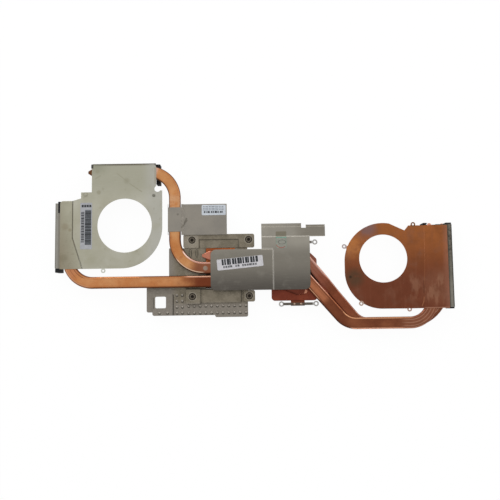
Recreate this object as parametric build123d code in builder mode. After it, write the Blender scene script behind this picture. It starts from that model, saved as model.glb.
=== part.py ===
"""Laptop heatsink with two fan covers, three fin stacks and four flattened heat pipes.

The module stands on its three fin stacks. +X runs along the laptop's rear edge, +Y points to the rear
and +Z points away from the circuit board. All sizes are in millimetres.
"""
from build123d import *
import math
import os

os.makedirs("parts", exist_ok=True)

# Sheet and pipe stock
SHEET = 0.5
CLIP_SHEET = 0.6
REGULATOR_SHEET = 0.6
LABEL_SHEET = 0.1
PIPE_WIDTH = 9.8
SLIM_PIPE_WIDTH = 8.6
PIPE_THICK = 3.0
NUB_WIDTH = 3.4
NUB_THICK = 1.8
NUB_TAPER = 5.5
NUB_LENGTH = 1.5
EDGE_FLAT_COUNT = 12
SOLDER_GAP = 0.15
SEAM_GAP = 0.1
FIT = 0.05

# Heights above the surface that the fin stacks stand on
PIPE_FLOOR = 8.0
GPU_RAISE = 0.8
CROSSING_GAP = 0.2

# Fin stacks, placed along the pipe that lies in their notch
FIN_PITCH = 1.5
FIN_THICK = 0.3
FIN_FLANGE = 0.4
REAR_STACK_LENGTH = 52.7
REAR_STACK_SHIFT = -0.65
REAR_STACK_LIP = 1.85
SIDE_STACK_LENGTH = 54.2
SIDE_STACK_SHIFT = -7.8
SIDE_STACK_LIP = 5.85
RIGHT_STACK_LENGTH = 68.4
RIGHT_STACK_SHIFT = -6.3
RIGHT_STACK_LIP = 13.15

# Left fan cover, measured from the left fan's axis
LEFT_FAN_X = -106.7
LEFT_FAN_Y = 18.0
LEFT_INLET_D = 45.0
LEFT_SCROLL_R = 34.0
LEFT_SCROLL_X = -2.8
LEFT_SCROLL_Y = -1.6
REAR_LANE = 45.1
REAR_EXPOSED = 0.4
REAR_COVER_LEFT = -27.4
REAR_COVER_RIGHT = 26.2
REAR_CORNER_X = 2.1
REAR_CORNER_Y = 2.8
LEFT_SHOULDER_Y = 29.0
LEFT_NOTCH_R = 2.6
LEFT_NOTCH_X = 1.1
LEFT_NOTCH_Y = 1.4
SIDE_LANE = -46.6
SIDE_EXPOSED = 4.0
SEAM_INSET = 3.5
SEAM_BEND_Y = -10.0
SEAM_FOOT_X = -34.8
SEAM_HEAD_Y = 21.1
LEDGE_X = -36.3
LEDGE_Y = 28.2
LEDGE_DROP = 5.0
PANEL_CORNER = 2.5
STUD_D = 2.2
STUD_HEIGHT = 0.5
STUD_TAPER = 20
STUDS = [(24.2, 24.8), (-32.4, 26.2)]

# Right fan cover, measured from the right fan's axis
RIGHT_FAN_X = 106.7
RIGHT_FAN_Y = -12.3
RIGHT_INLET_D = 39.6
RIGHT_SCROLL_R = 32.0
RIGHT_SCROLL_DROP = 2.5
RIGHT_CORNER_R = 30.5
RIGHT_COVER_BOTTOM = -41.3
RIGHT_COVER_TOP = 27.1
THROAT_X = 18.2
THROAT_DEPTH = 4.0
THROAT_RUN = 3.3
THROAT_ANGLE = 80
RIGHT_EXPOSED = 4.0
OUTER_LANE = 39.3
INNER_LANE = 50.7
FAN_SIDE_DROP = 0.2

# Screw ears on the covers
EAR_R = 1.9
EAR_HOLE_D = 1.7
EAR_NECK = 2.4
EAR_REACH = 4.0
LEFT_EAR = (-17.5, -37.3)
RIGHT_EARS = [(-32.0, 10.4), (-19.2, -36.8), (20.3, -42.0), (25.5, 28.0)]

# Graphics chip station, measured from the middle of its four screws
GPU_X = -27.7
GPU_Y = -18.1
GPU_SCREW_X = 47.0
GPU_SCREW_Y = 46.8
GPU_BASE_X = 24.0
GPU_BASE_Y = 33.2
BASE_THICK = 2.4
BASE_FIT = 0.1
MID_LANE = 0.2
UPPER_LANE_GAP = 0.8
LOWER_LANE_GAP = 1.4

# Die-cast memory plate
CAST_THICK = 2.4
SHELF_DROP = 1.0
BOSS_RISE = 0.8
BOSS_REACH = 4.7
BRACKET_LEFT = 7.2
BRACKET_DEPTH = 11.3
BLOCK_WIDTH = 30.6
RAIL_WIDTH = 10.2
SHELF_REACH = 49.3
SHELF_DEPTH = 22.1
SHELF_OVERLAP = 4.0
SHELF_STEP = 1.7
SHELF_STEP_X = -5.0
SHELF_NOTCH_X = 4.7
SHELF_NOTCH_Y = 2.8
SCREW_PAD = 12.2
SCREW_PAD_SHIFT = 0.9
RAISED_PAD_X = 33.0
RAISED_PAD_Y = 10.6
RAISED_PAD_GAP = 1.3
WINDOW_X = 9.1
WINDOW_Y = 9.5
WINDOW_CORNER = 1.2
WINDOW_INSET = 6.9
WINDOW_RISE = 6.2
WINDOW_RIM = 2.1
WINDOW_RIM_RIGHT = 5.9
RIM_HEIGHT = 0.6
CAST_CORNER = 1.6
RECESS_X = 32.4
RECESS_Y = 6.8
RECESS_SHIFT = -1.3
RECESS_DEPTH = 0.5
RIB_WIDTH = 1.0
RIB_LENGTH = 6.0
RIB_SPACING = 5.5
RIB_HEIGHT = 0.5
RIBS_AT = (-22.3, 12.5)
PIN_D = 2.0
PIN_HEIGHT = 0.7
PIN_TAPER_ANGLE = 35
PIN_SIDE_COUNT = 8
PIN_ROWS_AT = (-0.8, -33.8)
PIN_ROWS_PITCH = (4.73, 5.7)
PIN_ROWS_COUNT = (10, 2)
PIN_COLUMNS_AT = (-34.2, -29.1)
PIN_COLUMNS_PITCH = (4.5, 4.85)
PIN_COLUMNS_COUNT = (2, 4)
RIM_PINS_AT = (-47.5, -36.3)
RIM_PINS_PITCH = 6.6

# Captive screws
HEAD_D = 5.4
HEAD_HEIGHT = 1.2
HEAD_RECESS_D = 6.2
HEAD_RECESS_DEPTH = 1.4
DRIVE_LENGTH = 3.0
DRIVE_WIDTH = 0.7
DRIVE_DEPTH = 0.6
SHANK_D = 2.0
SHANK_HOLE_D = 2.6
SHANK_REACH = 4.0
NECK_D = 1.6
NECK_DROP = 0.8
WASHER_D = 4.4
WASHER_THICK = 0.5

# Processor station, measured from the middle of its four clip eyes
CPU_X = 36.6
CPU_Y = -23.0
CLIP_EYE_X = 28.7
CLIP_EYE_Y = 51.2
CLIP_EYE_R = 2.2
CLIP_EYE_HOLE_D = 2.2
CLIP_BAR = 2.2
CLIP_PLATE_GAP = 0.2
CPU_BASE_LEFT = 22.4
CPU_BASE_RIGHT = 15.4
CPU_BASE_Y = 45.8
CPU_BASE_CHAMFER = 11.5
CPU_BASE_CORNER = 3.0
TAB_X = 11.4
TAB_REACH = 4.3
TAB_SHIFT = -0.8
TAB_THICK = 0.8
RIVET_SPACING = 5.6
RIVET_D = 1.2
RIVET_HEAD_D = 1.9
RIVET_HEAD = 0.4
DIE_PAD_X = 20.0
DIE_PAD_Y = 22.0
DIE_PAD_RISE = 0.6

# Centre cover: the arm lies over the graphics chip, the rest steps down towards the rear
ARM_LEFT = 8.1
ARM_TOP = 15.0
ARM_BOTTOM = 18.7
ARM_RIGHT = 20.7
COLUMN_LEFT = 30.2
COVER_RIGHT = 9.7
STEP_ONE_Y = 29.8
STEP_TWO_Y = 38.0
COVER_TOP_Y = 41.2
COVER_TAB_RIGHT = 22.6
COVER_TAB_LOW = 30.0
COVER_TAB_HIGH = 39.9
COVER_STEP = 0.8
COVER_CORNER = 2.5
COVER_SLOT_X = 4.9
COVER_SLOT_WIDTH = 3.8
COVER_SLOT_DEPTH = 4.0
ACCESS_HOLE_D = 5.0

# Regulator plate, strapped over the left rear pipe's straight run
REGULATOR_REACH = 43.1
REGULATOR_Y = 25.8
REGULATOR_RISE = 40.5
REGULATOR_DROP = 1.9
STRAP_Y = 20.3
STRAP_LIP = 2.2
STRAP_LAND = 0.6

# Routes of the heat pipes, which stop short of the ends of their fin stacks
RISER_X = 37.5
REAR_PIPE_START = 3.1
REAR_PIPE_END = 12.0
SIDE_PIPE_START = 7.3
SIDE_PIPE_TURN = -18.6
SIDE_PIPE_END_X = 0.4
SIDE_PIPE_END_Y = -13.6
OUTER_PIPE_START = -14.6
OUTER_PIPE_Y = 4.5
OUTER_BEND_X = -1.5
OUTER_FOOT_X = 39.0
INNER_PIPE_START = -8.3
INNER_BEND_X = 3.1
INNER_FOOT_X = 49.8
DIP_START = 0.40
DIP_END = 0.565
DIP_LEAD = 0.035
RUN_Y = -52.8
RIGHT_PIPE_END = 5.9
STEP_START = 31.6
STEP_RUN = 8.0
STEP_LEAD = 1.0
BEND_REAR = 22.3
BEND_GPU = 23.6
BEND_SIDE = 20.0
BEND_TAIL = 16.0
BEND_CPU = 14.0
BEND_FOOT = 17.0
BEND_OUTER = 18.4
BEND_INNER = 31.0
BEND_STEP = 10.0

# Foam strips and thermal pads
FOAM_THICK = 3.4
FOAM_STRIP = 1.4
FOAM_DROP = 0.4
REAR_FOAM_Y = 17.3
REAR_FOAM_TIP = 3.6
SIDE_FOAM_X = 11.0
SIDE_FOAM_INSET = 2.2
SIDE_FOAM_FLAP = 8.0
SIDE_FOAM_FOOT = 4.2
RIGHT_FOAM_LEFT = 3.4
RIGHT_FOAM_RIGHT = 4.6
PAD_THICK = 1.0
MEMORY_PAD_X = 13.0
MEMORY_PAD_Y = 11.0
MEMORY_PAD_SPACING = 15.5
MEMORY_PADS_LEFT = -27.4
REGULATOR_PAD_X = 11.0
REGULATOR_PAD_Y = 20.0
REGULATOR_PAD_SPACING = 14.0
REGULATOR_PADS_AT = 26.0
CHOKE_PAD_X = 24.0
CHOKE_PAD_Y = 5.0
CHOKE_PAD_SHIFT = -6.0

# Labels
LABEL_CORNER = 0.8
LEFT_LABEL_X = 9.8
LEFT_LABEL_Y = 38.8
LEFT_LABEL_AT = -31.8
REGULATOR_LABEL_X = 20.0
REGULATOR_LABEL_Y = 8.6
LABEL_MARGIN = 0.8
CENTRE_LABEL_X = 38.0
CENTRE_LABEL_Y = 9.0
CENTRE_LABEL_TILT = 5.4
CENTRE_LABEL_AT = (16.2, 3.8)
SEAL_X = 8.8
SEAL_Y = 14.0
SEAL_AT = (-13.9, 27.4)

# Levels that follow from the sizes above
gpu_floor = PIPE_FLOOR + GPU_RAISE
gpu_top = gpu_floor + PIPE_THICK
cpu_top = PIPE_FLOOR + PIPE_THICK
low_floor = PIPE_FLOOR - PIPE_THICK - CROSSING_GAP
cast_bottom = gpu_floor - CAST_THICK
shelf_top = gpu_floor - SHELF_DROP
boss_top = gpu_floor + BOSS_RISE
head_floor = boss_top - HEAD_RECESS_DEPTH
cpu_bottom = PIPE_FLOOR - BASE_THICK
clip_floor = cpu_bottom + TAB_THICK
clip_top = clip_floor + CLIP_SHEET
regulator_floor = gpu_top - REGULATOR_DROP

# Pipe lanes and stack edges that follow from the sizes above
notch_half = PIPE_WIDTH / 2 + SOLDER_GAP
tunnel_half = SLIM_PIPE_WIDTH / 2 + SOLDER_GAP
mid_lane_y = GPU_Y + MID_LANE
upper_lane_y = mid_lane_y + (PIPE_WIDTH + SLIM_PIPE_WIDTH) / 2 + UPPER_LANE_GAP
lower_lane_y = mid_lane_y - PIPE_WIDTH - LOWER_LANE_GAP
rear_lane_y = LEFT_FAN_Y + REAR_LANE
side_lane_x = LEFT_FAN_X + SIDE_LANE
outer_lane_x = RIGHT_FAN_X + OUTER_LANE
inner_lane_x = RIGHT_FAN_X + INNER_LANE
riser_x = GPU_X - RISER_X
run_y = RIGHT_FAN_Y + RUN_Y
rear_stack_x = LEFT_FAN_X + REAR_STACK_SHIFT
side_stack_y = LEFT_FAN_Y + SIDE_STACK_SHIFT
right_stack_y = RIGHT_FAN_Y + RIGHT_STACK_SHIFT
rear_outer_y = rear_lane_y + notch_half + REAR_STACK_LIP
side_outer_x = side_lane_x - notch_half - SIDE_STACK_LIP
right_outer_x = outer_lane_x + notch_half + RIGHT_STACK_LIP
rear_right = rear_stack_x + REAR_STACK_LENGTH / 2
rear_left = rear_stack_x - REAR_STACK_LENGTH / 2
side_top = side_stack_y + SIDE_STACK_LENGTH / 2
side_bottom = side_stack_y - SIDE_STACK_LENGTH / 2
right_top = right_stack_y + RIGHT_STACK_LENGTH / 2
right_bottom = right_stack_y - RIGHT_STACK_LENGTH / 2

left_fan = Plane((LEFT_FAN_X, LEFT_FAN_Y, 0))
right_fan = Plane((RIGHT_FAN_X, RIGHT_FAN_Y, 0))
gpu = Plane((GPU_X, GPU_Y, 0))
cpu = Plane((CPU_X, CPU_Y, 0))
UP = Vector(0, 0, 1)


def save(piece, name):
    """Writes one finished piece under its own name."""
    piece.part.label = name
    export_step(piece.part, f"parts/{name}.step")


def span(x0, y0, x1, y1, radius=0, mode=Mode.ADD):
    """A rectangle given by two opposite corners, rounded if a radius is given."""
    with Locations(((x0 + x1) / 2, (y0 + y1) / 2)):
        if radius:
            RectangleRounded(x1 - x0, y1 - y0, radius, mode=mode)
        else:
            Rectangle(x1 - x0, y1 - y0, mode=mode)


def pressed(width, thick):
    """The section of a round pipe pressed flat, its round sides cut by short flats."""
    with Locations(((thick - width) / 2, 0), ((width - thick) / 2, 0)):
        RegularPolygon(thick / 2, EDGE_FLAT_COUNT, major_radius=False, rotation=180 / EDGE_FLAT_COUNT)
    Rectangle(width - thick, thick)


def heat_pipe(spans, width):
    """A round pipe pressed flat, bent along level and upright spans, and pinched to a nub at each end."""
    mouths = []
    with BuildPart() as pipe:
        for points, radii in spans:
            with BuildLine() as route:
                FilletPolyline(*points, radius=radii)
            heading = route.line % 0
            with BuildSketch(Plane(route.line @ 0, x_dir=UP.cross(heading), z_dir=heading)):
                pressed(width, PIPE_THICK)
            sweep(path=route.line)
            mouths += [(route.line @ 0, heading * -1), (route.line @ 1, route.line % 1)]
        for point, outward in (mouths[0], mouths[-1]):
            mouth = Plane(point, x_dir=UP.cross(outward), z_dir=outward)
            with BuildSketch(mouth):
                pressed(width, PIPE_THICK)
            with BuildSketch(mouth.offset(NUB_TAPER)) as nub:
                pressed(NUB_WIDTH, NUB_THICK)
            loft()
            extrude(nub.sketch, amount=NUB_LENGTH)
    return pipe


def fin_stack(base, length, lip, floor, tunnel_at=None, tunnel_turn=None):
    """Folded fins on a plane whose x runs along the pipe in the notch and whose y points to the outlet.

    A second pipe may pass through a tunnel below: it runs straight and then turns towards the fan.
    """
    top = floor + PIPE_THICK
    outlet = notch_half + lip
    gap = FIN_PITCH - FIN_THICK
    count = int((length - FIN_THICK) // FIN_PITCH)
    tall_from = notch_half + FIN_FLANGE
    with BuildPart() as stack:
        with BuildSketch(base):
            span(-length / 2, -notch_half, length / 2, outlet)
        extrude(amount=top)
        with BuildSketch(base.offset(floor)):
            Rectangle(length, 2 * notch_half)
        extrude(amount=PIPE_THICK, mode=Mode.SUBTRACT)
        with BuildSketch(base.offset(FIN_FLANGE)):
            with Locations((0, lip / 2)):
                with GridLocations(FIN_PITCH, 1, count, 1):
                    Rectangle(gap, 2 * notch_half + lip)
        extrude(amount=floor - 2 * FIN_FLANGE, mode=Mode.SUBTRACT)
        with BuildSketch(base.offset(FIN_FLANGE)):
            with Locations((0, (tall_from + outlet) / 2)):
                with GridLocations(FIN_PITCH, 1, count, 1):
                    Rectangle(gap, outlet - tall_from)
        extrude(amount=top - 2 * FIN_FLANGE, mode=Mode.SUBTRACT)
        if tunnel_at:
            with BuildSketch(base.offset(low_floor)):
                with Locations((tunnel_turn, tunnel_at - BEND_INNER)):
                    Circle(BEND_INNER + tunnel_half)
                    Circle(BEND_INNER - tunnel_half, mode=Mode.SUBTRACT)
                span(-length, -length, tunnel_turn, length, mode=Mode.SUBTRACT)
                span(-length, tunnel_at - tunnel_half, tunnel_turn, tunnel_at + tunnel_half)
            extrude(amount=PIPE_FLOOR - low_floor, mode=Mode.SUBTRACT)
    return stack


def blocks(name, boxes):
    """Plain blocks in one node, each given as its low and high corners."""
    with BuildPart() as group:
        for low, high in boxes:
            size = [b - a for a, b in zip(low, high)]
            with Locations(low):
                Box(*size, align=(Align.MIN, Align.MIN, Align.MIN))
    save(group, name)


def label(name, plane, width, height):
    """A thin label with rounded corners, lying on a plane."""
    with BuildPart() as sticker:
        with BuildSketch(plane):
            RectangleRounded(width, height, LABEL_CORNER)
        extrude(amount=LABEL_SHEET)
    save(sticker, name)


# Fin stacks
rear_fins = fin_stack(
    Plane((rear_stack_x, rear_lane_y, 0)), REAR_STACK_LENGTH, REAR_STACK_LIP, gpu_floor
)
save(rear_fins, "left_rear_fin_stack")

side_fins = fin_stack(
    Plane((side_lane_x, side_stack_y, 0), x_dir=(0, 1, 0)), SIDE_STACK_LENGTH, SIDE_STACK_LIP, gpu_floor
)
save(side_fins, "left_side_fin_stack")

right_fins = fin_stack(
    Plane((outer_lane_x, right_stack_y, 0), x_dir=(0, -1, 0)),
    RIGHT_STACK_LENGTH,
    RIGHT_STACK_LIP,
    PIPE_FLOOR,
    tunnel_at=INNER_LANE - OUTER_LANE,
    tunnel_turn=right_stack_y - run_y - BEND_INNER,
)
save(right_fins, "right_fin_stack")

# Heat pipes: each span is level or stands in one upright plane
gpu_z = gpu_floor + PIPE_THICK / 2
cpu_z = PIPE_FLOOR + PIPE_THICK / 2
low_z = low_floor + PIPE_THICK / 2
step_from = CPU_X - STEP_START
step_to = step_from + STEP_RUN
lead_from = step_from - STEP_LEAD
lead_to = step_to + STEP_LEAD


def step_down(x, y):
    """The upright span that brings a pipe down from the graphics chip to the processor."""
    points = [(x, y, gpu_z), (step_from, y, gpu_z), (step_to, y, cpu_z), (lead_to, y, cpu_z)]
    return (points, [BEND_STEP, BEND_STEP])


rear_route = [
    (rear_left + REAR_PIPE_START, rear_lane_y, gpu_z),
    (riser_x, rear_lane_y, gpu_z),
    (riser_x, mid_lane_y, gpu_z),
    (GPU_X + REAR_PIPE_END, mid_lane_y, gpu_z),
]
save(heat_pipe([(rear_route, [BEND_REAR, BEND_GPU])], PIPE_WIDTH), "left_rear_heat_pipe")

side_route = [
    (side_lane_x, side_top - SIDE_PIPE_START, gpu_z),
    (side_lane_x, lower_lane_y, gpu_z),
    (lead_from, lower_lane_y, gpu_z),
]
tail_route = [
    (lead_to, lower_lane_y, cpu_z),
    (CPU_X + SIDE_PIPE_TURN, lower_lane_y, cpu_z),
    (CPU_X + SIDE_PIPE_END_X, CPU_Y + SIDE_PIPE_END_Y, cpu_z),
]
side_spans = [(side_route, [BEND_SIDE]), step_down(lead_from, lower_lane_y), (tail_route, [BEND_TAIL])]
save(heat_pipe(side_spans, PIPE_WIDTH), "left_side_heat_pipe")

outer_route = [
    (CPU_X + OUTER_PIPE_START, CPU_Y + OUTER_PIPE_Y, cpu_z),
    (CPU_X + OUTER_BEND_X, CPU_Y + OUTER_PIPE_Y, cpu_z),
    (CPU_X + OUTER_FOOT_X, run_y, cpu_z),
    (outer_lane_x, run_y, cpu_z),
    (outer_lane_x, right_top - RIGHT_PIPE_END, cpu_z),
]
save(heat_pipe([(outer_route, [BEND_CPU, BEND_FOOT, BEND_OUTER])], PIPE_WIDTH), "right_outer_heat_pipe")

# The inner pipe dips beside the processor so that it can pass below the outer pipe
inner_bend = Vector(CPU_X + INNER_BEND_X, upper_lane_y, cpu_z)
inner_foot = Vector(CPU_X + INNER_FOOT_X, run_y, cpu_z)
drop = Vector(0, 0, cpu_z - low_z)
dip_lead_in, dip_from, dip_to, dip_lead_out = [
    inner_bend + (inner_foot - inner_bend) * share
    for share in (DIP_START - DIP_LEAD, DIP_START, DIP_END, DIP_END + DIP_LEAD)
]
low_route = [
    dip_lead_out - drop,
    inner_foot - drop,
    (inner_lane_x, run_y, low_z),
    (inner_lane_x, right_top - RIGHT_PIPE_END, low_z),
]
inner_spans = [
    step_down(GPU_X + INNER_PIPE_START, upper_lane_y),
    ([(lead_to, upper_lane_y, cpu_z), inner_bend, dip_lead_in], [BEND_CPU]),
    ([dip_lead_in, dip_from, dip_to - drop, dip_lead_out - drop], [BEND_STEP, BEND_STEP]),
    (low_route, [BEND_FOOT, BEND_INNER]),
]
save(heat_pipe(inner_spans, SLIM_PIPE_WIDTH), "right_inner_heat_pipe")

# Left fan cover: flat sheet with the inlet, a clipped shoulder, one screw ear and two pressed studs
scroll_right = LEFT_SCROLL_X + LEFT_SCROLL_R
scroll_bottom = LEFT_SCROLL_Y - LEFT_SCROLL_R
seam_x = SIDE_LANE + SEAM_INSET
rear_edge = rear_outer_y - REAR_EXPOSED - LEFT_FAN_Y
left_sheet = left_fan.offset(gpu_top)
with BuildPart() as left_fan_cover:
    with BuildSketch(left_sheet):
        with BuildLine():
            scroll = CenterArc((LEFT_SCROLL_X, LEFT_SCROLL_Y), LEFT_SCROLL_R, 270, 90)
            Polyline(
                scroll @ 1,
                (scroll_right, LEFT_SHOULDER_Y),
                (REAR_COVER_RIGHT, LEFT_SHOULDER_Y),
                (REAR_COVER_RIGHT, rear_edge - REAR_CORNER_Y),
                (REAR_COVER_RIGHT - REAR_CORNER_X, rear_edge),
                (REAR_COVER_LEFT, rear_edge),
                (REAR_COVER_LEFT, LEDGE_Y),
                (LEDGE_X, LEDGE_Y),
                (LEDGE_X, LEDGE_Y - LEDGE_DROP),
                (seam_x, SEAM_HEAD_Y),
                (seam_x, SEAM_BEND_Y),
                (SEAM_FOOT_X, scroll_bottom),
                scroll @ 0,
            )
        make_face()
        with Locations(LEFT_EAR):
            Circle(EAR_R)
        span(LEFT_EAR[0] - EAR_NECK / 2, LEFT_EAR[1], LEFT_EAR[0] + EAR_NECK / 2, scroll_bottom + EAR_R)
        with Locations(LEFT_EAR):
            Circle(EAR_HOLE_D / 2, mode=Mode.SUBTRACT)
        with Locations((REAR_COVER_RIGHT + LEFT_NOTCH_X, LEFT_SHOULDER_Y + LEFT_NOTCH_Y)):
            Circle(LEFT_NOTCH_R, mode=Mode.SUBTRACT)
        Circle(LEFT_INLET_D / 2, mode=Mode.SUBTRACT)
    extrude(amount=SHEET)
    with BuildSketch(left_sheet.offset(SHEET)):
        with Locations(*STUDS):
            Circle(STUD_D / 2)
    extrude(amount=STUD_HEIGHT, taper=STUD_TAPER)
save(left_fan_cover, "left_fan_cover")

# Left side duct cover: lies over the side fins and meets the fan cover at a seam above the pipe
panel_left = side_outer_x + SIDE_EXPOSED - LEFT_FAN_X
with BuildPart() as left_side_cover:
    with BuildSketch(left_sheet):
        with BuildLine():
            Polyline(
                (panel_left, SEAM_HEAD_Y),
                (panel_left, scroll_bottom),
                (SEAM_FOOT_X - SEAM_GAP, scroll_bottom),
                (seam_x - SEAM_GAP, SEAM_BEND_Y),
                (seam_x - SEAM_GAP, SEAM_HEAD_Y),
                close=True,
            )
        panel = make_face()
        fillet(panel.vertices().group_by(Axis.X)[0].sort_by(Axis.Y)[-1], PANEL_CORNER)
    extrude(amount=SHEET)
save(left_side_cover, "left_side_duct_cover")

# Right fan cover: one copper sheet, pressed lower on the fan side of the outer pipe
right_edge = right_outer_x - RIGHT_EXPOSED - RIGHT_FAN_X
press_x = OUTER_LANE - notch_half
press_y = RUN_Y + BEND_OUTER
press_r = BEND_OUTER - notch_half
press_angle = math.degrees(math.asin((press_y - RIGHT_COVER_BOTTOM) / press_r))
corner_at = (RIGHT_CORNER_R - RIGHT_SCROLL_R, RIGHT_COVER_BOTTOM + RIGHT_CORNER_R)
with BuildPart() as right_fan_cover:
    for level, zone in ((cpu_top - FAN_SIDE_DROP, Mode.SUBTRACT), (cpu_top, Mode.INTERSECT)):
        with BuildSketch(right_fan.offset(level)):
            with BuildLine():
                upper = CenterArc((0, -RIGHT_SCROLL_DROP), RIGHT_SCROLL_R, THROAT_ANGLE, 180 - THROAT_ANGLE)
                lower = CenterArc(corner_at, RIGHT_CORNER_R, 180, 90)
                Line(upper @ 1, lower @ 0)
                Polyline(
                    lower @ 1,
                    (right_edge, RIGHT_COVER_BOTTOM),
                    (right_edge, RIGHT_COVER_TOP),
                    (THROAT_X + THROAT_RUN, RIGHT_COVER_TOP),
                    (THROAT_X, RIGHT_COVER_TOP - THROAT_DEPTH),
                    upper @ 0,
                )
            make_face()
            for x, y in RIGHT_EARS:
                inward = Vector(-x, -y).normalized() * EAR_REACH / 2
                with Locations((x, y)):
                    Circle(EAR_R)
                with Locations(Location((x + inward.X, y + inward.Y), math.degrees(math.atan2(y, x)))):
                    Rectangle(EAR_REACH, EAR_NECK)
            with Locations(*RIGHT_EARS):
                Circle(EAR_HOLE_D / 2, mode=Mode.SUBTRACT)
            Circle(RIGHT_INLET_D / 2, mode=Mode.SUBTRACT)
            with BuildLine():
                turn = CenterArc((press_x - press_r, press_y), press_r, 0, -press_angle)
                Polyline(
                    turn @ 1,
                    ((turn @ 1).X, 2 * RIGHT_COVER_BOTTOM),
                    (2 * right_edge, 2 * RIGHT_COVER_BOTTOM),
                    (2 * right_edge, 2 * RIGHT_COVER_TOP),
                    (press_x, 2 * RIGHT_COVER_TOP),
                    turn @ 0,
                )
            make_face(mode=zone)
        extrude(amount=SHEET)
save(right_fan_cover, "right_fan_cover")

# Die-cast memory plate, with a window for the graphics chip's base
window_x = GPU_BASE_X / 2 + BASE_FIT
window_y = GPU_BASE_Y / 2 + BASE_FIT
screw_x = GPU_SCREW_X / 2
screw_y = GPU_SCREW_Y / 2
bracket_top = screw_y + BOSS_REACH
bracket_bottom = bracket_top - BRACKET_DEPTH
rail_right = window_x + RAIL_WIDTH
shelf_left = -window_x - SHELF_REACH
shelf_bottom = -window_y - SHELF_DEPTH
shelf_head = -window_y + SHELF_OVERLAP
vent_left = shelf_left + WINDOW_INSET
vent_right = vent_left + WINDOW_X
vent_low = shelf_bottom + WINDOW_RISE
vent_high = vent_low + WINDOW_Y
rim_left = vent_left - WINDOW_RIM
raised_top = -window_y - RAISED_PAD_GAP
with BuildPart() as memory_plate:
    with BuildSketch(gpu.offset(cast_bottom)):
        span(shelf_left, shelf_bottom + SHELF_NOTCH_Y, rail_right, shelf_head, CAST_CORNER)
        span(shelf_left + SHELF_NOTCH_X, shelf_bottom, rail_right, shelf_head, CAST_CORNER)
        span(SHELF_STEP_X, shelf_bottom - SHELF_STEP, rail_right, shelf_head, CAST_CORNER)
    extrude(amount=shelf_top - cast_bottom)
    with BuildSketch(gpu.offset(cast_bottom)):
        span(-window_x - BLOCK_WIDTH, -window_y, -window_x, bracket_bottom)
        span(window_x, -window_y, rail_right, bracket_bottom)
        span(-RAISED_PAD_X / 2, raised_top - RAISED_PAD_Y, RAISED_PAD_X / 2, raised_top, CAST_CORNER)
    extrude(amount=gpu_floor - cast_bottom)
    with BuildSketch(gpu.offset(cast_bottom)):
        span(-screw_x - BRACKET_LEFT, bracket_bottom, screw_x + BOSS_REACH, bracket_top, CAST_CORNER)
        with Locations((SCREW_PAD_SHIFT - screw_x, -screw_y)):
            RectangleRounded(SCREW_PAD, SCREW_PAD, CAST_CORNER)
        with Locations((screw_x, -screw_y)):
            RectangleRounded(2 * BOSS_REACH, 2 * BOSS_REACH, CAST_CORNER)
    extrude(amount=boss_top - cast_bottom)
    with BuildSketch(gpu.offset(shelf_top)):
        span(rim_left, shelf_bottom, vent_right + WINDOW_RIM_RIGHT, vent_high + WINDOW_RIM, CAST_CORNER)
    extrude(amount=RIM_HEIGHT)
    with BuildSketch(gpu.offset(shelf_top + RIM_HEIGHT)):
        with Locations(RIM_PINS_AT):
            with GridLocations(RIM_PINS_PITCH, 1, 2, 1):
                RegularPolygon(PIN_D / 2, PIN_SIDE_COUNT)
    extrude(amount=PIN_HEIGHT, taper=PIN_TAPER_ANGLE)
    with BuildSketch(gpu.offset(gpu_floor)):
        with Locations(RIBS_AT):
            with GridLocations(RIB_SPACING, 1, 2, 1):
                Rectangle(RIB_WIDTH, RIB_LENGTH)
    extrude(amount=RIB_HEIGHT)
    with BuildSketch(gpu.offset(shelf_top)):
        with Locations(PIN_ROWS_AT):
            with GridLocations(*PIN_ROWS_PITCH, *PIN_ROWS_COUNT):
                RegularPolygon(PIN_D / 2, PIN_SIDE_COUNT)
        with Locations(PIN_COLUMNS_AT):
            with GridLocations(*PIN_COLUMNS_PITCH, *PIN_COLUMNS_COUNT):
                RegularPolygon(PIN_D / 2, PIN_SIDE_COUNT)
    extrude(amount=PIN_HEIGHT, taper=PIN_TAPER_ANGLE)
    with BuildSketch(gpu.offset(cast_bottom)):
        Rectangle(2 * window_x, 2 * window_y)
        span(vent_left, vent_low, vent_right, vent_high, WINDOW_CORNER)
        with GridLocations(GPU_SCREW_X, GPU_SCREW_Y, 2, 2):
            Circle(SHANK_HOLE_D / 2)
    extrude(amount=boss_top - cast_bottom, mode=Mode.SUBTRACT)
    with BuildSketch(gpu.offset(boss_top)):
        with GridLocations(GPU_SCREW_X, GPU_SCREW_Y, 2, 2):
            Circle(HEAD_RECESS_D / 2)
    extrude(amount=-HEAD_RECESS_DEPTH, mode=Mode.SUBTRACT)
    with BuildSketch(gpu.offset(boss_top)):
        with Locations((RECESS_SHIFT, bracket_bottom + RECESS_Y / 2)):
            Rectangle(RECESS_X, RECESS_Y)
    extrude(amount=-RECESS_DEPTH, mode=Mode.SUBTRACT)
save(memory_plate, "memory_plate")

# Graphics chip's copper base, set in the memory plate's window
with BuildPart() as gpu_base:
    with BuildSketch(gpu.offset(gpu_floor - BASE_THICK)):
        Rectangle(GPU_BASE_X, GPU_BASE_Y)
    extrude(amount=BASE_THICK)
    with BuildSketch(gpu.offset(gpu_floor - BASE_THICK)):
        Rectangle(DIE_PAD_X, DIE_PAD_Y)
    extrude(amount=-DIE_PAD_RISE)
save(gpu_base, "gpu_base_plate")

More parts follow.
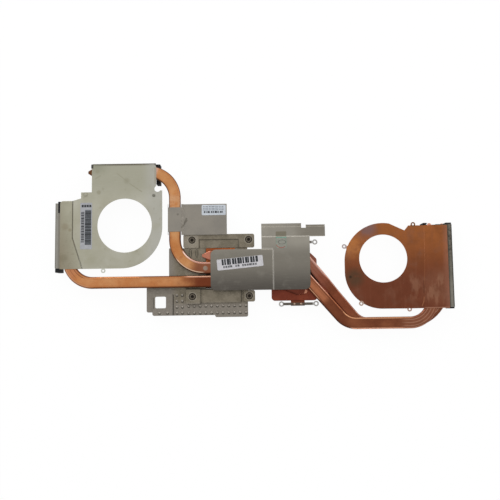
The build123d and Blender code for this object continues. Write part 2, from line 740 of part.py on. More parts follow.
# Captive screws, whose slim necks run in the memory plate, and the washers that hold them there
with BuildPart() as gpu_screws:
    with BuildSketch(gpu.offset(head_floor)):
        with GridLocations(GPU_SCREW_X, GPU_SCREW_Y, 2, 2):
            Circle(HEAD_D / 2)
    extrude(amount=HEAD_HEIGHT)
    with BuildSketch(gpu.offset(head_floor)):
        with GridLocations(GPU_SCREW_X, GPU_SCREW_Y, 2, 2):
            Circle(NECK_D / 2)
    extrude(amount=cast_bottom - NECK_DROP - head_floor)
    with BuildSketch(gpu.offset(cast_bottom - NECK_DROP)):
        with GridLocations(GPU_SCREW_X, GPU_SCREW_Y, 2, 2):
            Circle(SHANK_D / 2)
    extrude(amount=NECK_DROP - SHANK_REACH)
    with BuildSketch(gpu.offset(head_floor + HEAD_HEIGHT)):
        with GridLocations(GPU_SCREW_X, GPU_SCREW_Y, 2, 2):
            Rectangle(DRIVE_LENGTH, DRIVE_WIDTH)
            Rectangle(DRIVE_WIDTH, DRIVE_LENGTH)
    extrude(amount=-DRIVE_DEPTH, mode=Mode.SUBTRACT)
save(gpu_screws, "gpu_screws")

with BuildPart() as washers:
    with BuildSketch(gpu.offset(cast_bottom)):
        with GridLocations(GPU_SCREW_X, GPU_SCREW_Y, 2, 2):
            Circle(WASHER_D / 2)
            Circle(NECK_D / 2 + FIT, mode=Mode.SUBTRACT)
    extrude(amount=-WASHER_THICK)
save(washers, "screw_washers")

# Processor's copper base, with a riveting tab at each end
base_half = CPU_BASE_Y / 2
eye_y = CLIP_EYE_Y / 2
with BuildPart() as cpu_base:
    with BuildSketch(cpu.offset(cpu_bottom)):
        with BuildLine():
            Polyline(
                (-CPU_BASE_LEFT, -base_half),
                (CPU_BASE_RIGHT, -base_half),
                (CPU_BASE_RIGHT, base_half - CPU_BASE_CHAMFER),
                (CPU_BASE_RIGHT - CPU_BASE_CHAMFER, base_half),
                (-CPU_BASE_LEFT, base_half),
                close=True,
            )
        base = make_face()
        fillet(base.vertices(), CPU_BASE_CORNER)
    extrude(amount=BASE_THICK)
    with BuildSketch(cpu.offset(cpu_bottom)):
        Rectangle(DIE_PAD_X, DIE_PAD_Y)
    extrude(amount=-DIE_PAD_RISE)
    with BuildSketch(cpu.offset(cpu_bottom)):
        with Locations((TAB_SHIFT, 0)):
            Rectangle(TAB_X, CPU_BASE_Y + 2 * TAB_REACH)
    extrude(amount=TAB_THICK)
    with BuildSketch(cpu.offset(cpu_bottom)):
        with Locations((TAB_SHIFT, 0)):
            with GridLocations(RIVET_SPACING, CLIP_EYE_Y, 2, 2):
                Circle(RIVET_D / 2 + FIT)
    extrude(amount=TAB_THICK, mode=Mode.SUBTRACT)
save(cpu_base, "cpu_base_plate")


def spring_clip(name, side):
    """A flat spring bar with a screw eye at each end, widened where it is riveted onto the base's tab."""
    y = side * eye_y
    plate_from = base_half + CLIP_PLATE_GAP
    plate_to = base_half + TAB_REACH
    with BuildPart() as clip:
        with BuildSketch(cpu.offset(clip_floor)):
            with Locations((TAB_SHIFT, side * (plate_from + plate_to) / 2)):
                Rectangle(TAB_X, plate_to - plate_from)
            with Locations((0, y)):
                Rectangle(CLIP_EYE_X, CLIP_BAR)
                with GridLocations(CLIP_EYE_X, 1, 2, 1):
                    Circle(CLIP_EYE_R)
                with GridLocations(CLIP_EYE_X, 1, 2, 1):
                    Circle(CLIP_EYE_HOLE_D / 2, mode=Mode.SUBTRACT)
            with Locations((TAB_SHIFT, y)):
                with GridLocations(RIVET_SPACING, 1, 2, 1):
                    Circle(RIVET_D / 2 + FIT, mode=Mode.SUBTRACT)
        extrude(amount=CLIP_SHEET)
    save(clip, name)


spring_clip("lower_spring_clip", -1)
spring_clip("upper_spring_clip", 1)

with BuildPart() as rivets:
    for z, radius, height in (
        (clip_top, RIVET_HEAD_D / 2, RIVET_HEAD),
        (cpu_bottom, RIVET_D / 2, clip_top - cpu_bottom),
        (cpu_bottom, RIVET_HEAD_D / 2, -RIVET_HEAD),
    ):
        with BuildSketch(cpu.offset(z)):
            with Locations((TAB_SHIFT, 0)):
                with GridLocations(RIVET_SPACING, CLIP_EYE_Y, 2, 2):
                    Circle(radius)
        extrude(amount=height)
save(rivets, "clip_rivets")

# Centre cover: a sheet stepped along Y, its arm raised over the graphics chip's pipes
arm_left = GPU_X - ARM_LEFT
arm_right = CPU_X - ARM_RIGHT
arm_top = GPU_Y + ARM_TOP
cover_bottom = GPU_Y - ARM_BOTTOM
column_left = CPU_X - COLUMN_LEFT
cover_right = CPU_X + COVER_RIGHT
cover_top = CPU_Y + COVER_TOP_Y
tab_right = CPU_X + COVER_TAB_RIGHT
tab_low = CPU_Y + COVER_TAB_LOW
tab_high = CPU_Y + COVER_TAB_HIGH
slot_x = CPU_X + COVER_SLOT_X
step_one = CPU_Y + STEP_ONE_Y
step_two = CPU_Y + STEP_TWO_Y
margin = 5 * COVER_STEP


def stepped(rise):
    """The stepped line of the cover's underside, lifted by a given height."""
    heights = [cpu_top + rise - COVER_STEP * i for i in range(3)]
    return [
        (cover_bottom - margin, heights[0]),
        (step_one, heights[0]),
        (step_one + COVER_STEP, heights[1]),
        (step_two, heights[1]),
        (step_two + COVER_STEP, heights[2]),
        (cover_top + margin, heights[2]),
    ]


with BuildPart() as centre_cover:
    with BuildSketch(Plane.YZ.offset(arm_left - margin)):
        with BuildLine():
            Polyline(*stepped(0), *reversed(stepped(SHEET)), close=True)
        make_face()
    extrude(amount=tab_right - arm_left + 2 * margin)
    for level, mode in ((cpu_top + SHEET, Mode.ADD), (cpu_top, Mode.SUBTRACT)):
        with BuildSketch(Plane((0, 0, level))):
            with BuildLine():
                Polyline(
                    (arm_left - margin, cover_bottom - margin),
                    (arm_right, cover_bottom - margin),
                    (arm_right, arm_top),
                    (column_left, arm_top),
                    (column_left, arm_top + margin),
                    (arm_left - margin, arm_top + margin),
                    close=True,
                )
            make_face()
        extrude(amount=GPU_RAISE, taper=45, mode=mode)
    with BuildSketch(Plane((0, 0, PIPE_FLOOR))):
        with BuildLine():
            Polyline(
                (arm_left, cover_bottom),
                (cover_right, cover_bottom),
                (cover_right, tab_low),
                (tab_right, tab_low),
                (tab_right, tab_high),
                (slot_x, tab_high),
                (slot_x, cover_top),
                (column_left, cover_top),
                (column_left, arm_top),
                (arm_left, arm_top),
                close=True,
            )
        plate = make_face()
        fillet(plate.vertices().group_by(Axis.X)[0], COVER_CORNER)
        fillet(plate.vertices().group_by(Axis.X)[-1], COVER_CORNER)
        with Locations((slot_x, cover_top)):
            Rectangle(COVER_SLOT_WIDTH, 2 * COVER_SLOT_DEPTH, mode=Mode.SUBTRACT)
        with Locations((CPU_X - CLIP_EYE_X / 2, CPU_Y + eye_y)):
            Circle(ACCESS_HOLE_D / 2, mode=Mode.SUBTRACT)
    extrude(amount=2 * PIPE_THICK, mode=Mode.INTERSECT)
save(centre_cover, "centre_cover")

# Regulator plate: a strap over the pipe, then a plate at a lower level
regulator_y = GPU_Y + REGULATOR_RISE
lip_x = riser_x - PIPE_WIDTH / 2 - SOLDER_GAP
land_x = riser_x + PIPE_WIDTH / 2 + STRAP_LAND
bend_ease = REGULATOR_SHEET * math.tan(math.radians(22.5))
reach_x = riser_x + REGULATOR_REACH
strap_top = gpu_top + REGULATOR_SHEET
plate_top = regulator_floor + REGULATOR_SHEET
with BuildPart() as regulator_plate:
    with BuildSketch(Plane.XZ.offset(-regulator_y)):
        with BuildLine():
            Polyline(
                (lip_x - REGULATOR_SHEET, gpu_top - STRAP_LIP),
                (lip_x - REGULATOR_SHEET, strap_top),
                (land_x, strap_top),
                (land_x + REGULATOR_DROP, plate_top),
                (reach_x, plate_top),
                (reach_x, regulator_floor),
                (land_x + REGULATOR_DROP - bend_ease, regulator_floor),
                (land_x - bend_ease, gpu_top),
                (lip_x, gpu_top),
                (lip_x, gpu_top - STRAP_LIP),
                close=True,
            )
        make_face()
    extrude(amount=REGULATOR_Y / 2, both=True)
    with BuildSketch(Plane((0, regulator_y, regulator_floor))):
        for side in (-1, 1):
            with Locations((riser_x, side * (STRAP_Y + REGULATOR_Y) / 4)):
                Rectangle(2 * (land_x - riser_x), (REGULATOR_Y - STRAP_Y) / 2)
    extrude(amount=2 * PIPE_THICK, both=True, mode=Mode.SUBTRACT)
save(regulator_plate, "regulator_plate")

# Foam strips that close the gaps at the stacks' ends
flap_right = side_outer_x + SIDE_EXPOSED - SOLDER_GAP
nub_clear = NUB_WIDTH / 2 + 2 * SOLDER_GAP
left_foam_right = outer_lane_x - nub_clear
right_foam_left = inner_lane_x + nub_clear
right_foam_top = cpu_top - FOAM_DROP
blocks(
    "left_rear_foam",
    [
        (
            (rear_right, rear_outer_y - REAR_FOAM_Y, 0),
            (rear_right + FOAM_THICK, rear_outer_y, gpu_floor - FOAM_DROP),
        ),
        (
            (rear_left - FOAM_STRIP, rear_outer_y - REAR_FOAM_TIP, 0),
            (rear_left, rear_outer_y, gpu_top - FOAM_DROP),
        ),
    ],
)
blocks(
    "left_side_foam",
    [
        (
            (side_outer_x + SIDE_FOAM_INSET, side_top, 0),
            (side_outer_x + SIDE_FOAM_X, side_top + FOAM_STRIP, gpu_top),
        ),
        (
            (side_outer_x + SIDE_FOAM_INSET, side_top - SIDE_FOAM_FLAP, gpu_top),
            (flap_right, side_top + FOAM_STRIP, gpu_top + SHEET),
        ),
        (
            (side_outer_x, side_bottom - FOAM_THICK, 0),
            (side_outer_x + SIDE_FOAM_FOOT, side_bottom, gpu_top - FOAM_DROP),
        ),
    ],
)
blocks(
    "right_foam",
    [
        (
            (left_foam_right - RIGHT_FOAM_LEFT, right_top, 0),
            (left_foam_right, right_top + FOAM_STRIP, right_foam_top),
        ),
        ((right_foam_left, right_top, 0), (right_outer_x, right_top + FOAM_STRIP, right_foam_top)),
        (
            (right_outer_x - RIGHT_FOAM_RIGHT, right_bottom - FOAM_STRIP, 0),
            (right_outer_x, right_bottom, right_foam_top),
        ),
    ],
)

# Thermal pads below the memory plate, the regulator plate and the centre cover
with BuildPart() as memory_pads:
    with BuildSketch(gpu.offset(cast_bottom)):
        with Locations((0, raised_top - RAISED_PAD_Y / 2)):
            with GridLocations(MEMORY_PAD_SPACING, 1, 2, 1):
                Rectangle(MEMORY_PAD_X, MEMORY_PAD_Y)
        with Locations((MEMORY_PADS_LEFT, 0)):
            with GridLocations(1, MEMORY_PAD_SPACING, 1, 2):
                Rectangle(MEMORY_PAD_X, MEMORY_PAD_Y)
    extrude(amount=-PAD_THICK)
save(memory_pads, "memory_pads")

with BuildPart() as regulator_pads:
    with BuildSketch(Plane((riser_x + REGULATOR_PADS_AT, regulator_y, regulator_floor))):
        with GridLocations(REGULATOR_PAD_SPACING, 1, 2, 1):
            Rectangle(REGULATOR_PAD_X, REGULATOR_PAD_Y)
    extrude(amount=-PAD_THICK)
save(regulator_pads, "regulator_pads")

with BuildPart() as choke_pad:
    middle_y = (step_one + COVER_STEP + step_two) / 2
    with BuildSketch(Plane((CPU_X + CHOKE_PAD_SHIFT, middle_y, cpu_top - COVER_STEP))):
        Rectangle(CHOKE_PAD_X, CHOKE_PAD_Y)
    extrude(amount=-PAD_THICK)
save(choke_pad, "choke_pad")

# Labels
left_label_at = (LEFT_FAN_X + LEFT_LABEL_AT, LEFT_FAN_Y, gpu_top + SHEET)
label("left_cover_label", Plane(left_label_at), LEFT_LABEL_X, LEFT_LABEL_Y)

regulator_label_at = (
    reach_x - LABEL_MARGIN - REGULATOR_LABEL_X / 2,
    regulator_y + REGULATOR_Y / 2 - LABEL_MARGIN - REGULATOR_LABEL_Y / 2,
    plate_top,
)
label("regulator_label", Plane(regulator_label_at), REGULATOR_LABEL_X, REGULATOR_LABEL_Y)

centre_label_at = (GPU_X + CENTRE_LABEL_AT[0], GPU_Y + CENTRE_LABEL_AT[1], gpu_top + SHEET)
centre_label_plane = Plane(centre_label_at).rotated((0, 0, CENTRE_LABEL_TILT))
label("centre_label", centre_label_plane, CENTRE_LABEL_X, CENTRE_LABEL_Y)

# The seal runs down over the cover's first step
with BuildPart() as seal:
    with BuildSketch(Plane.YZ.offset(CPU_X + SEAL_AT[0])):
        with BuildLine():
            Polyline(*stepped(SHEET), *reversed(stepped(SHEET + LABEL_SHEET)), close=True)
        make_face()
    extrude(amount=SEAL_X, both=True)
    with BuildSketch(Plane((CPU_X + SEAL_AT[0], CPU_Y + SEAL_AT[1], PIPE_FLOOR))):
        RectangleRounded(SEAL_X, SEAL_Y, LABEL_CORNER)
    extrude(amount=2 * PIPE_THICK, mode=Mode.INTERSECT)
save(seal, "seal_label")
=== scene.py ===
import bmesh
import bpy
import math
from mathutils import Matrix, Vector, noise


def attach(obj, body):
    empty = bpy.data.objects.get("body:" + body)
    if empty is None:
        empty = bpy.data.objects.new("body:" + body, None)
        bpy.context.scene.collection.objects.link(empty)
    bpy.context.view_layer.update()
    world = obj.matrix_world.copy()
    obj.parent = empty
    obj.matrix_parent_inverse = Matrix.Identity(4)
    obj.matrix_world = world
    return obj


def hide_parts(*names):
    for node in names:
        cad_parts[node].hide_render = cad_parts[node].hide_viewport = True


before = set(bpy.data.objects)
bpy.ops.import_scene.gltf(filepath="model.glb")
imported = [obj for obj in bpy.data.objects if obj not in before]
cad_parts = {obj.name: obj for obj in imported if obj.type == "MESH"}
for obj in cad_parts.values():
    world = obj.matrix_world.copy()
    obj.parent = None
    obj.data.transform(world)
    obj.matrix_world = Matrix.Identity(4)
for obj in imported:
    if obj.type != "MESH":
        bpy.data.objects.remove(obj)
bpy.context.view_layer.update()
MM = 0.001
UP = Vector((0, 0, 1))

# Places in the plan and heights in millimetres that several pieces share
SCREWS = [(x, y) for x in (-51.2, -4.2) for y in (5.3, -41.5)]
SEAM = [(-149.8, 39.1), (-149.8, 8.0), (-141.5, -17.6)]
COVER_LABEL_TOP = 12.4
REGULATOR_LABEL_TOP = 10.6
SEAL_TOP = 11.6


# Small tools

def colour(code):
    """An sRGB hex code as a linear colour."""
    parts = [int(code[i:i + 2], 16) / 255 for i in (1, 3, 5)]
    return [c / 12.92 if c <= 0.04045 else ((c + 0.055) / 1.055) ** 2.4 for c in parts] + [1.0]


def add(tree, kind, inputs=None, **settings):
    """Adds a node, with each input set to a value or linked to a socket."""
    node = tree.nodes.new(kind)
    for name, value in settings.items():
        setattr(node, name, value)
    for name, value in (inputs or {}).items():
        if isinstance(value, bpy.types.NodeSocket):
            tree.links.new(value, node.inputs[name])
        else:
            node.inputs[name].default_value = value
    return node


def soft_range(tree, value, low, high, to_low=0.0, to_high=1.0):
    """Turns one range of a value into another, with soft ends."""
    return add(
        tree, "ShaderNodeMapRange",
        {0: value, "From Min": low, "From Max": high, "To Min": to_low, "To Max": to_high},
        interpolation_type="SMOOTHSTEP",
    ).outputs[0]


class Finish:
    """A material made of a Principled shader and patterns measured in millimetres."""

    def __init__(self, name, metallic, roughness):
        self.material = bpy.data.materials.new(name)
        self.material.use_nodes = True
        self.tree = self.material.node_tree
        self.shader = self.tree.nodes["Principled BSDF"]
        self.shader.inputs["Metallic"].default_value = metallic
        self.shader.inputs["Roughness"].default_value = roughness
        place = add(self.tree, "ShaderNodeTexCoord").outputs["Object"]
        scaled = add(self.tree, "ShaderNodeVectorMath", {0: place, "Scale": 1 / MM}, operation="SCALE")
        self.mm = scaled.outputs[0]
        self.x, self.y, self.z = add(self.tree, "ShaderNodeSeparateXYZ", {0: self.mm}).outputs

    def attribute(self, name):
        """A number that the mesh keeps at its points."""
        return add(self.tree, "ShaderNodeAttribute", attribute_name=name).outputs["Fac"]

    def math(self, operation, a, b=0.0):
        """One number from one or two others."""
        return add(self.tree, "ShaderNodeMath", {0: a, 1: b}, operation=operation).outputs[0]

    def measure(self, operation, a, b):
        """One number from two vectors."""
        return add(self.tree, "ShaderNodeVectorMath", {0: a, 1: b}, operation=operation).outputs["Value"]

    def ramp(self, value, low, high, to_low=0.0, to_high=1.0):
        """A soft range in this material."""
        return soft_range(self.tree, value, low, high, to_low, to_high)

    def grain(self, size, detail, seed=0.0, stretch=(1, 1, 1), turn=0.0):
        """Noise from 0 to 1 with features of about this size, stretched along turned axes."""
        place = add(
            self.tree, "ShaderNodeMapping",
            {"Vector": self.mm, "Location": (seed, seed * 0.7, 0), "Rotation": (0, 0, math.radians(turn)),
             "Scale": [1 / (size * s) for s in stretch]},
        )
        return self.noise(place.outputs[0], detail)

    def noise(self, place, detail):
        """Noise from 0 to 1 with features of about one unit."""
        return add(
            self.tree, "ShaderNodeTexNoise",
            {"Vector": place, "Scale": 1.0, "Detail": detail, "Roughness": 0.55},
        ).outputs[0]

    def both(self, *masks):
        """The overlap of several masks."""
        total = masks[0]
        for mask in masks[1:]:
            total = self.math("MULTIPLY", total, mask)
        return total

    def between(self, value, low, high, fade):
        """A mask that is 1 from low to high and fades out over a distance."""
        return self.both(self.ramp(value, low - fade, low), self.ramp(value, high, high + fade, 1.0, 0.0))

    def distance(self, x, y):
        """Distance in the plan from a point."""
        flat = add(self.tree, "ShaderNodeCombineXYZ", {0: self.x, 1: self.y}).outputs[0]
        return self.measure("DISTANCE", flat, (x, y, 0))

    def spot(self, x, y, radius, fade):
        """A soft-edged disc in the plan."""
        return self.ramp(self.distance(x, y), radius, radius + fade, 1.0, 0.0)

    def ring(self, x, y, radius, half, fade):
        """A soft circle in the plan, drawn with a line of this half width."""
        away = self.math("ABSOLUTE", self.math("SUBTRACT", self.distance(x, y), radius))
        return self.ramp(away, half, half + fade, 1.0, 0.0)

    def patch(self, low, high, fade):
        """A soft-edged rectangle in the plan."""
        in_x = self.between(self.x, low[0], high[0], fade)
        return self.both(in_x, self.between(self.y, low[1], high[1], fade))

    def line(self, start, end, half, fade):
        """A soft straight line in the plan."""
        start = Vector((*start, 0))
        way = Vector((*end, 0)) - start
        length = way.length
        way.normalize()
        normal = UP.cross(way)
        off = self.math("SUBTRACT", self.measure("DOT_PRODUCT", self.mm, normal), start.dot(normal))
        near = self.ramp(self.math("ABSOLUTE", off), half, half + fade, 1.0, 0.0)
        along = self.measure("DOT_PRODUCT", self.mm, way)
        return self.both(near, self.between(along, start.dot(way), start.dot(way) + length, fade))

    def mix(self, share, under, over):
        """Lays a share of one colour over another, each a hex code or a socket."""
        under = colour(under) if isinstance(under, str) else under
        over = colour(over) if isinstance(over, str) else over
        return add(self.tree, "ShaderNodeMix", {0: share, 6: under, 7: over}, data_type="RGBA").outputs[2]

    def paint(self, tint, share, *marks):
        """Lays marks, each a mask and a colour, over a tint, all with the same share."""
        for mask, code in marks:
            tint = self.mix(self.math("MULTIPLY", mask, share), tint, code)
        return tint

    def done(self, tint, rough, bumps):
        """Links the colour, the roughness and a chain of bumps given as height and depth in millimetres."""
        self.tree.links.new(tint, self.shader.inputs["Base Color"])
        if rough is not None:
            self.tree.links.new(rough, self.shader.inputs["Roughness"])
        normal = None
        for height, depth in bumps:
            inputs = {"Height": height, "Distance": depth * MM, "Strength": 1.0}
            if normal:
                inputs["Normal"] = normal
            normal = add(self.tree, "ShaderNodeBump", inputs).outputs[0]
        if normal:
            self.tree.links.new(normal, self.shader.inputs["Normal"])
        return self.material


# Sheet metal

def paint_seam(f, tint):
    """Paints a shadow along the seam, where the side duct's cover tucks under the left fan cover."""
    return f.paint(tint, 0.75, *[(f.line(a, b, 0.25, 0.5), "#5A5648") for a, b in zip(SEAM, SEAM[1:])])


def sheet_metal(name, dark, light, roughness, patch, marks):
    """Rolled sheet: cloudy tone, its own marks, faint rolling lines, smudges and a few scratches."""
    f = Finish(name, 0.75, roughness)
    tint = f.mix(f.ramp(f.grain(patch, 4), 0.3, 0.7), dark, light)
    tint = marks(f, tint)
    smudge = f.ramp(f.grain(11, 3, seed=37), 0.55, 0.75, 0.0, 0.3)
    tint = f.mix(smudge, tint, dark)
    rolled = f.grain(0.5, 2, seed=11, stretch=(24, 1, 1))
    tint = f.mix(f.ramp(rolled, 0.35, 0.7, 0.0, 0.05), tint, light)
    scratch = f.ramp(f.grain(0.35, 1, seed=53, stretch=(40, 1, 1), turn=31), 0.71, 0.76, 0.0, 0.5)
    tint = f.mix(scratch, tint, light)
    rough = f.ramp(f.grain(7, 4, seed=5), 0.3, 0.7, roughness - 0.06, roughness + 0.1)
    return f.done(tint, rough, [(rolled, 0.0015), (f.grain(18, 2, seed=3), 0.12), (scratch, -0.006)])


def left_cover_marks(f, tint):
    """Warmer over the rear fins, with a painted shadow along the seam, dark along the rear edge, with stains,
    scratches, a stamped ring, a pale front ear and a black corner beside the foam."""
    tint = f.mix(f.ramp(f.y, 34, 56), tint, "#A19F8E")
    tint = f.mix(f.ramp(f.y, 67.7, 69.3, 0.0, 0.85), tint, "#514A3B")
    tint = paint_seam(f, tint)
    stain = f.ramp(f.grain(3.4, 3, seed=83), 0.62, 0.74)
    tint = f.paint(
        tint, 0.65,
        (f.ramp(f.x, -94, -82, 0.0, 0.9), "#B0AFA8"),
        (f.math("MULTIPLY", stain, 0.45), "#8B8671"),
        (f.both(f.ramp(f.x, -116, -130), f.ramp(f.y, 58, 67, 0.0, 0.8)), "#838472"),
        (f.spot(-82.5, 42.8, 1.0, 0.7), "#3E3A2A"),
        (f.ring(-139.1, 44.2, 1.6, 0.1, 0.5), "#8A8674"),
        (f.line((-113.3, 62.0), (-105.2, 55.4), 0.02, 0.7), "#928F7C"),
        (f.line((-102.5, 53.0), (-92.6, 46.2), 0.02, 0.7), "#8E8B77"),
        (f.spot(-105.0, 55.4, 0.6, 3.2), "#8F8C79"),
        (f.line((-131.0, 57.5), (-127.0, 60.0), 0.1, 0.9), "#93907D"),
        (f.line((-81.4, 66.5), (-81.4, 53.0), 0.1, 0.4), "#7D6A4C"),
        (f.both(f.spot(-124.0, -19.6, 2.4, 0.5), f.ramp(f.y, -17.4, -18.0)), "#D8DBD3"),
        (f.spot(-128.2, 46.0, 0.9, 1.6), "#8E8A76"),
        (f.spot(-129.5, 63.5, 0.8, 1.6), "#918D79"),
        (f.line((-97.5, -3.2), (-92.5, 1.2), 0.1, 1.0), "#96927E"),
    )
    return f.mix(f.patch((-136.0, 66.4), (-133.0, 69.4), 0.2), tint, "#0E0E0E")


def side_cover_marks(f, tint):
    """Paler beside the seam, with a painted shadow along the seam itself, browned low down and towards the
    fins, with dark stains.
    """
    brown = f.math("ADD", f.x, f.math("MULTIPLY", f.y, 0.28))
    tint = f.mix(f.ramp(brown, -144, -160), tint, "#928B78")
    tint = paint_seam(f, tint)
    stain = f.ramp(f.grain(2.6, 3, seed=83), 0.56, 0.7)
    return f.paint(
        tint, 0.5,
        (f.both(stain, f.patch((-160, -18), (-148, 30), 3), f.ramp(f.y, 30, -18, 0.2, 0.6)), "#77705B"),
        (f.spot(-155.8, 17.6, 1.0, 3.4), "#857A63"),
        (f.spot(-152.0, 14.8, 0.6, 1.4), "#84785F"),
        (f.spot(-157.0, -8.5, 1.2, 4.0), "#7B745F"),
        (f.both(f.ramp(f.x, -156, -161), f.ramp(f.y, 6, -12)), "#7E705A"),
    )


CENTRE_STEPS = [((16.0, -3.6), (15.9, -36.4)), ((7.0, -2.6), (15.6, -2.8)), ((6.8, 7.2), (46.2, 7.2))]


def centre_cover_marks(f, tint):
    """Darker towards the front in painted shade, and painted highlights along its steps."""
    tint = f.mix(f.both(f.ramp(f.x, 28, 44), f.ramp(f.y, 6, 8)), tint, "#837D72")
    # Darker towards the front: painted shade
    tint = f.mix(f.ramp(f.y, 4, -9), tint, "#807B71")
    tint = f.mix(f.ramp(f.y, -12, -38), tint, "#55504A")
    # Pale lines on the steps: painted highlights
    return f.paint(tint, 0.28, *[(f.line(a, b, 0.35, 0.5), "#CFCBC4") for a, b in CENTRE_STEPS])


def regulator_marks(f, tint):
    """Darker along the bend beside the strap, with dark scratches across it."""
    return f.paint(
        tint, 0.7,
        (f.line((-58.8, 35.5), (-58.8, 9.5), 0.9, 0.4), "#6C675F"),
        (f.line((-55.6, 23.4), (-57.4, 18.8), 0.25, 0.8), "#5E594F"),
        (f.line((-57.4, 18.8), (-59.6, 15.3), 0.15, 0.6), "#5E594F"),
        (f.line((-55.0, 21.8), (-56.2, 20.2), 0.1, 0.6), "#5E594F"),
        (f.spot(-62.6, 26.6, 0.5, 0.8), "#6C675F"),
    )


# Nickel-plated aluminium sheet: pale olive grey, satin
left_sheet = sheet_metal("nickel_plated_aluminium", "#A29F8B", "#B4B2A4", 0.36, 30, left_cover_marks)

# The same sheet over the side duct, browned by heat
side_sheet = sheet_metal("heat_browned_aluminium", "#9C9986", "#AAA795", 0.38, 24, side_cover_marks)

# Satin nickel sheet: a cloudy grey, darker to the front in painted shade, with painted highlights on its
# steps
centre_sheet = sheet_metal("satin_nickel_sheet", "#928D83", "#9C978C", 0.34, 20, centre_cover_marks)

# Satin nickel sheet of the regulator plate
regulator_sheet = sheet_metal("satin_nickel_plate", "#87827A", "#918B81", 0.36, 14, regulator_marks)


# Copper sheet

def cover_copper_sheet():
    """Tarnished copper: orange-brown at the rear, red-brown in front, with oxide clouds, rubbed ears, a press
    line drawn in painted highlight and shade, and a painted highlight along its right edge."""
    f = Finish("tarnished_copper_sheet", 0.85, 0.36)
    tint = f.mix(f.ramp(f.y, 14, -34), "#9D5D31", "#733E29")
    cloud = f.grain(14, 5, seed=41)
    tint = f.mix(f.ramp(cloud, 0.5, 0.72, 0.0, 0.5), tint, "#7F5643")
    tint = f.mix(f.ramp(f.grain(22, 4, seed=61), 0.52, 0.75, 0.0, 0.5), tint, "#5E3822")
    streak = f.ramp(f.grain(2.2, 3, seed=23, stretch=(1, 14, 1)), 0.5, 0.75, 0.0, 0.22)
    tint = f.mix(streak, tint, "#8D5A42")
    cloudy = f.ramp(cloud, 0.3, 0.6)
    flames = f.ramp(f.grain(4.5, 4, seed=19, stretch=(1, 2.6, 1), turn=-24), 0.46, 0.62)
    tint = f.paint(
        tint, 0.75,
        (f.both(f.spot(92, 13, 4, 9), cloudy), "#7C6261"),
        (f.both(f.spot(81, -2, 4, 9), f.ramp(f.grain(7, 3, seed=77), 0.2, 0.6)), "#BD7A45"),
        (f.both(f.spot(82.5, -28, 3, 8), f.ramp(f.grain(6, 4, seed=7), 0.2, 0.5)), "#54412F"),
        (f.spot(79.2, -27.2, 0.6, 0.9), "#33271C"),
        (f.both(f.spot(130, -36, 6, 9), flames), "#8C5E47"),
        (f.both(f.spot(151, -38, 8, 9), flames), "#94664E"),
        (f.math("MULTIPLY", f.spot(152, -36, 8, 12), 0.4), "#94664E"),
    )
    tint = f.paint(
        tint, 0.8,
        (f.spot(74.7, -1.9, 1.9, 0.6), "#BDB6B8"),
        (f.spot(87.5, -49.1, 1.9, 0.6), "#C6AE9E"),
        (f.both(f.spot(127.0, -54.3, 1.9, 0.6), f.ramp(f.y, -53.2, -54.0)), "#BFA397"),
        (f.spot(132.2, 15.7, 1.9, 0.6), "#7C583C"),
    )
    tint = f.paint(
        tint, 0.5,
        # The press line over the pipe's edge, drawn as painted highlight and painted shade
        (f.line((141.6, 10.0), (139.9, -34.0), 0.02, 0.4), "#97603F"),
        (f.line((139.5, -31.0), (139.2, -41.0), 0.08, 0.5), "#4A2A1B"),
        (f.line((139.2, -44.5), (138.9, -48.0), 0.02, 0.42), "#C98A60"),
        (f.line((138.9, -48.0), (137.4, -51.6), 0.02, 0.42), "#C98A60"),
        (f.both(f.ramp(f.y, -52.4, -53.2), f.ramp(f.x, 138, 141)), "#C9947A"),
        # A painted highlight along the right edge
        (f.ramp(f.x, 154.6, 160.0, 0.0, 0.9), "#A06E5A"),
    )
    rough = f.ramp(f.grain(8, 4, seed=33), 0.3, 0.7, 0.3, 0.48)
    rolled = f.grain(0.5, 2, seed=11, stretch=(1, 24, 1))
    return f.done(tint, rough, [(rolled, 0.004), (f.grain(20, 2, seed=3), 0.16)])


cover_copper = cover_copper_sheet()


# Copper pipes, whose points keep their way along the pipe in millimetres and across it from -1 to 1

class PipeFinish(Finish):
    """A finish with marks that follow the pipe."""

    def __init__(self, name, metallic, roughness):
        super().__init__(name, metallic, roughness)
        self.along = self.attribute("along")
        self.across = self.attribute("across")

    def drawn(self, seed, width=0.16, length=40):
        """Noise in long lines that follow the pipe."""
        place = add(
            self.tree, "ShaderNodeCombineXYZ",
            {0: self.math("DIVIDE", self.along, length), 1: self.math("DIVIDE", self.across, width), 2: seed},
        ).outputs[0]
        return self.noise(place, 2)

    def stretch(self, start, end, fade):
        """A length of the pipe."""
        return self.between(self.along, start, end, fade)

    def stripe(self, across, half, start, end, fade):
        """A line along the pipe at one place across it."""
        away = self.math("ABSOLUTE", self.math("SUBTRACT", self.across, across))
        return self.both(self.ramp(away, half * 0.6, half * 1.4, 1.0, 0.0), self.stretch(start, end, fade))

    def edges(self, inside, start, end, fade):
        """Both edges of the pipe, from this place across outwards."""
        away = self.math("ABSOLUTE", self.across)
        return self.both(self.ramp(away, inside - 0.06, inside + 0.06), self.stretch(start, end, fade))


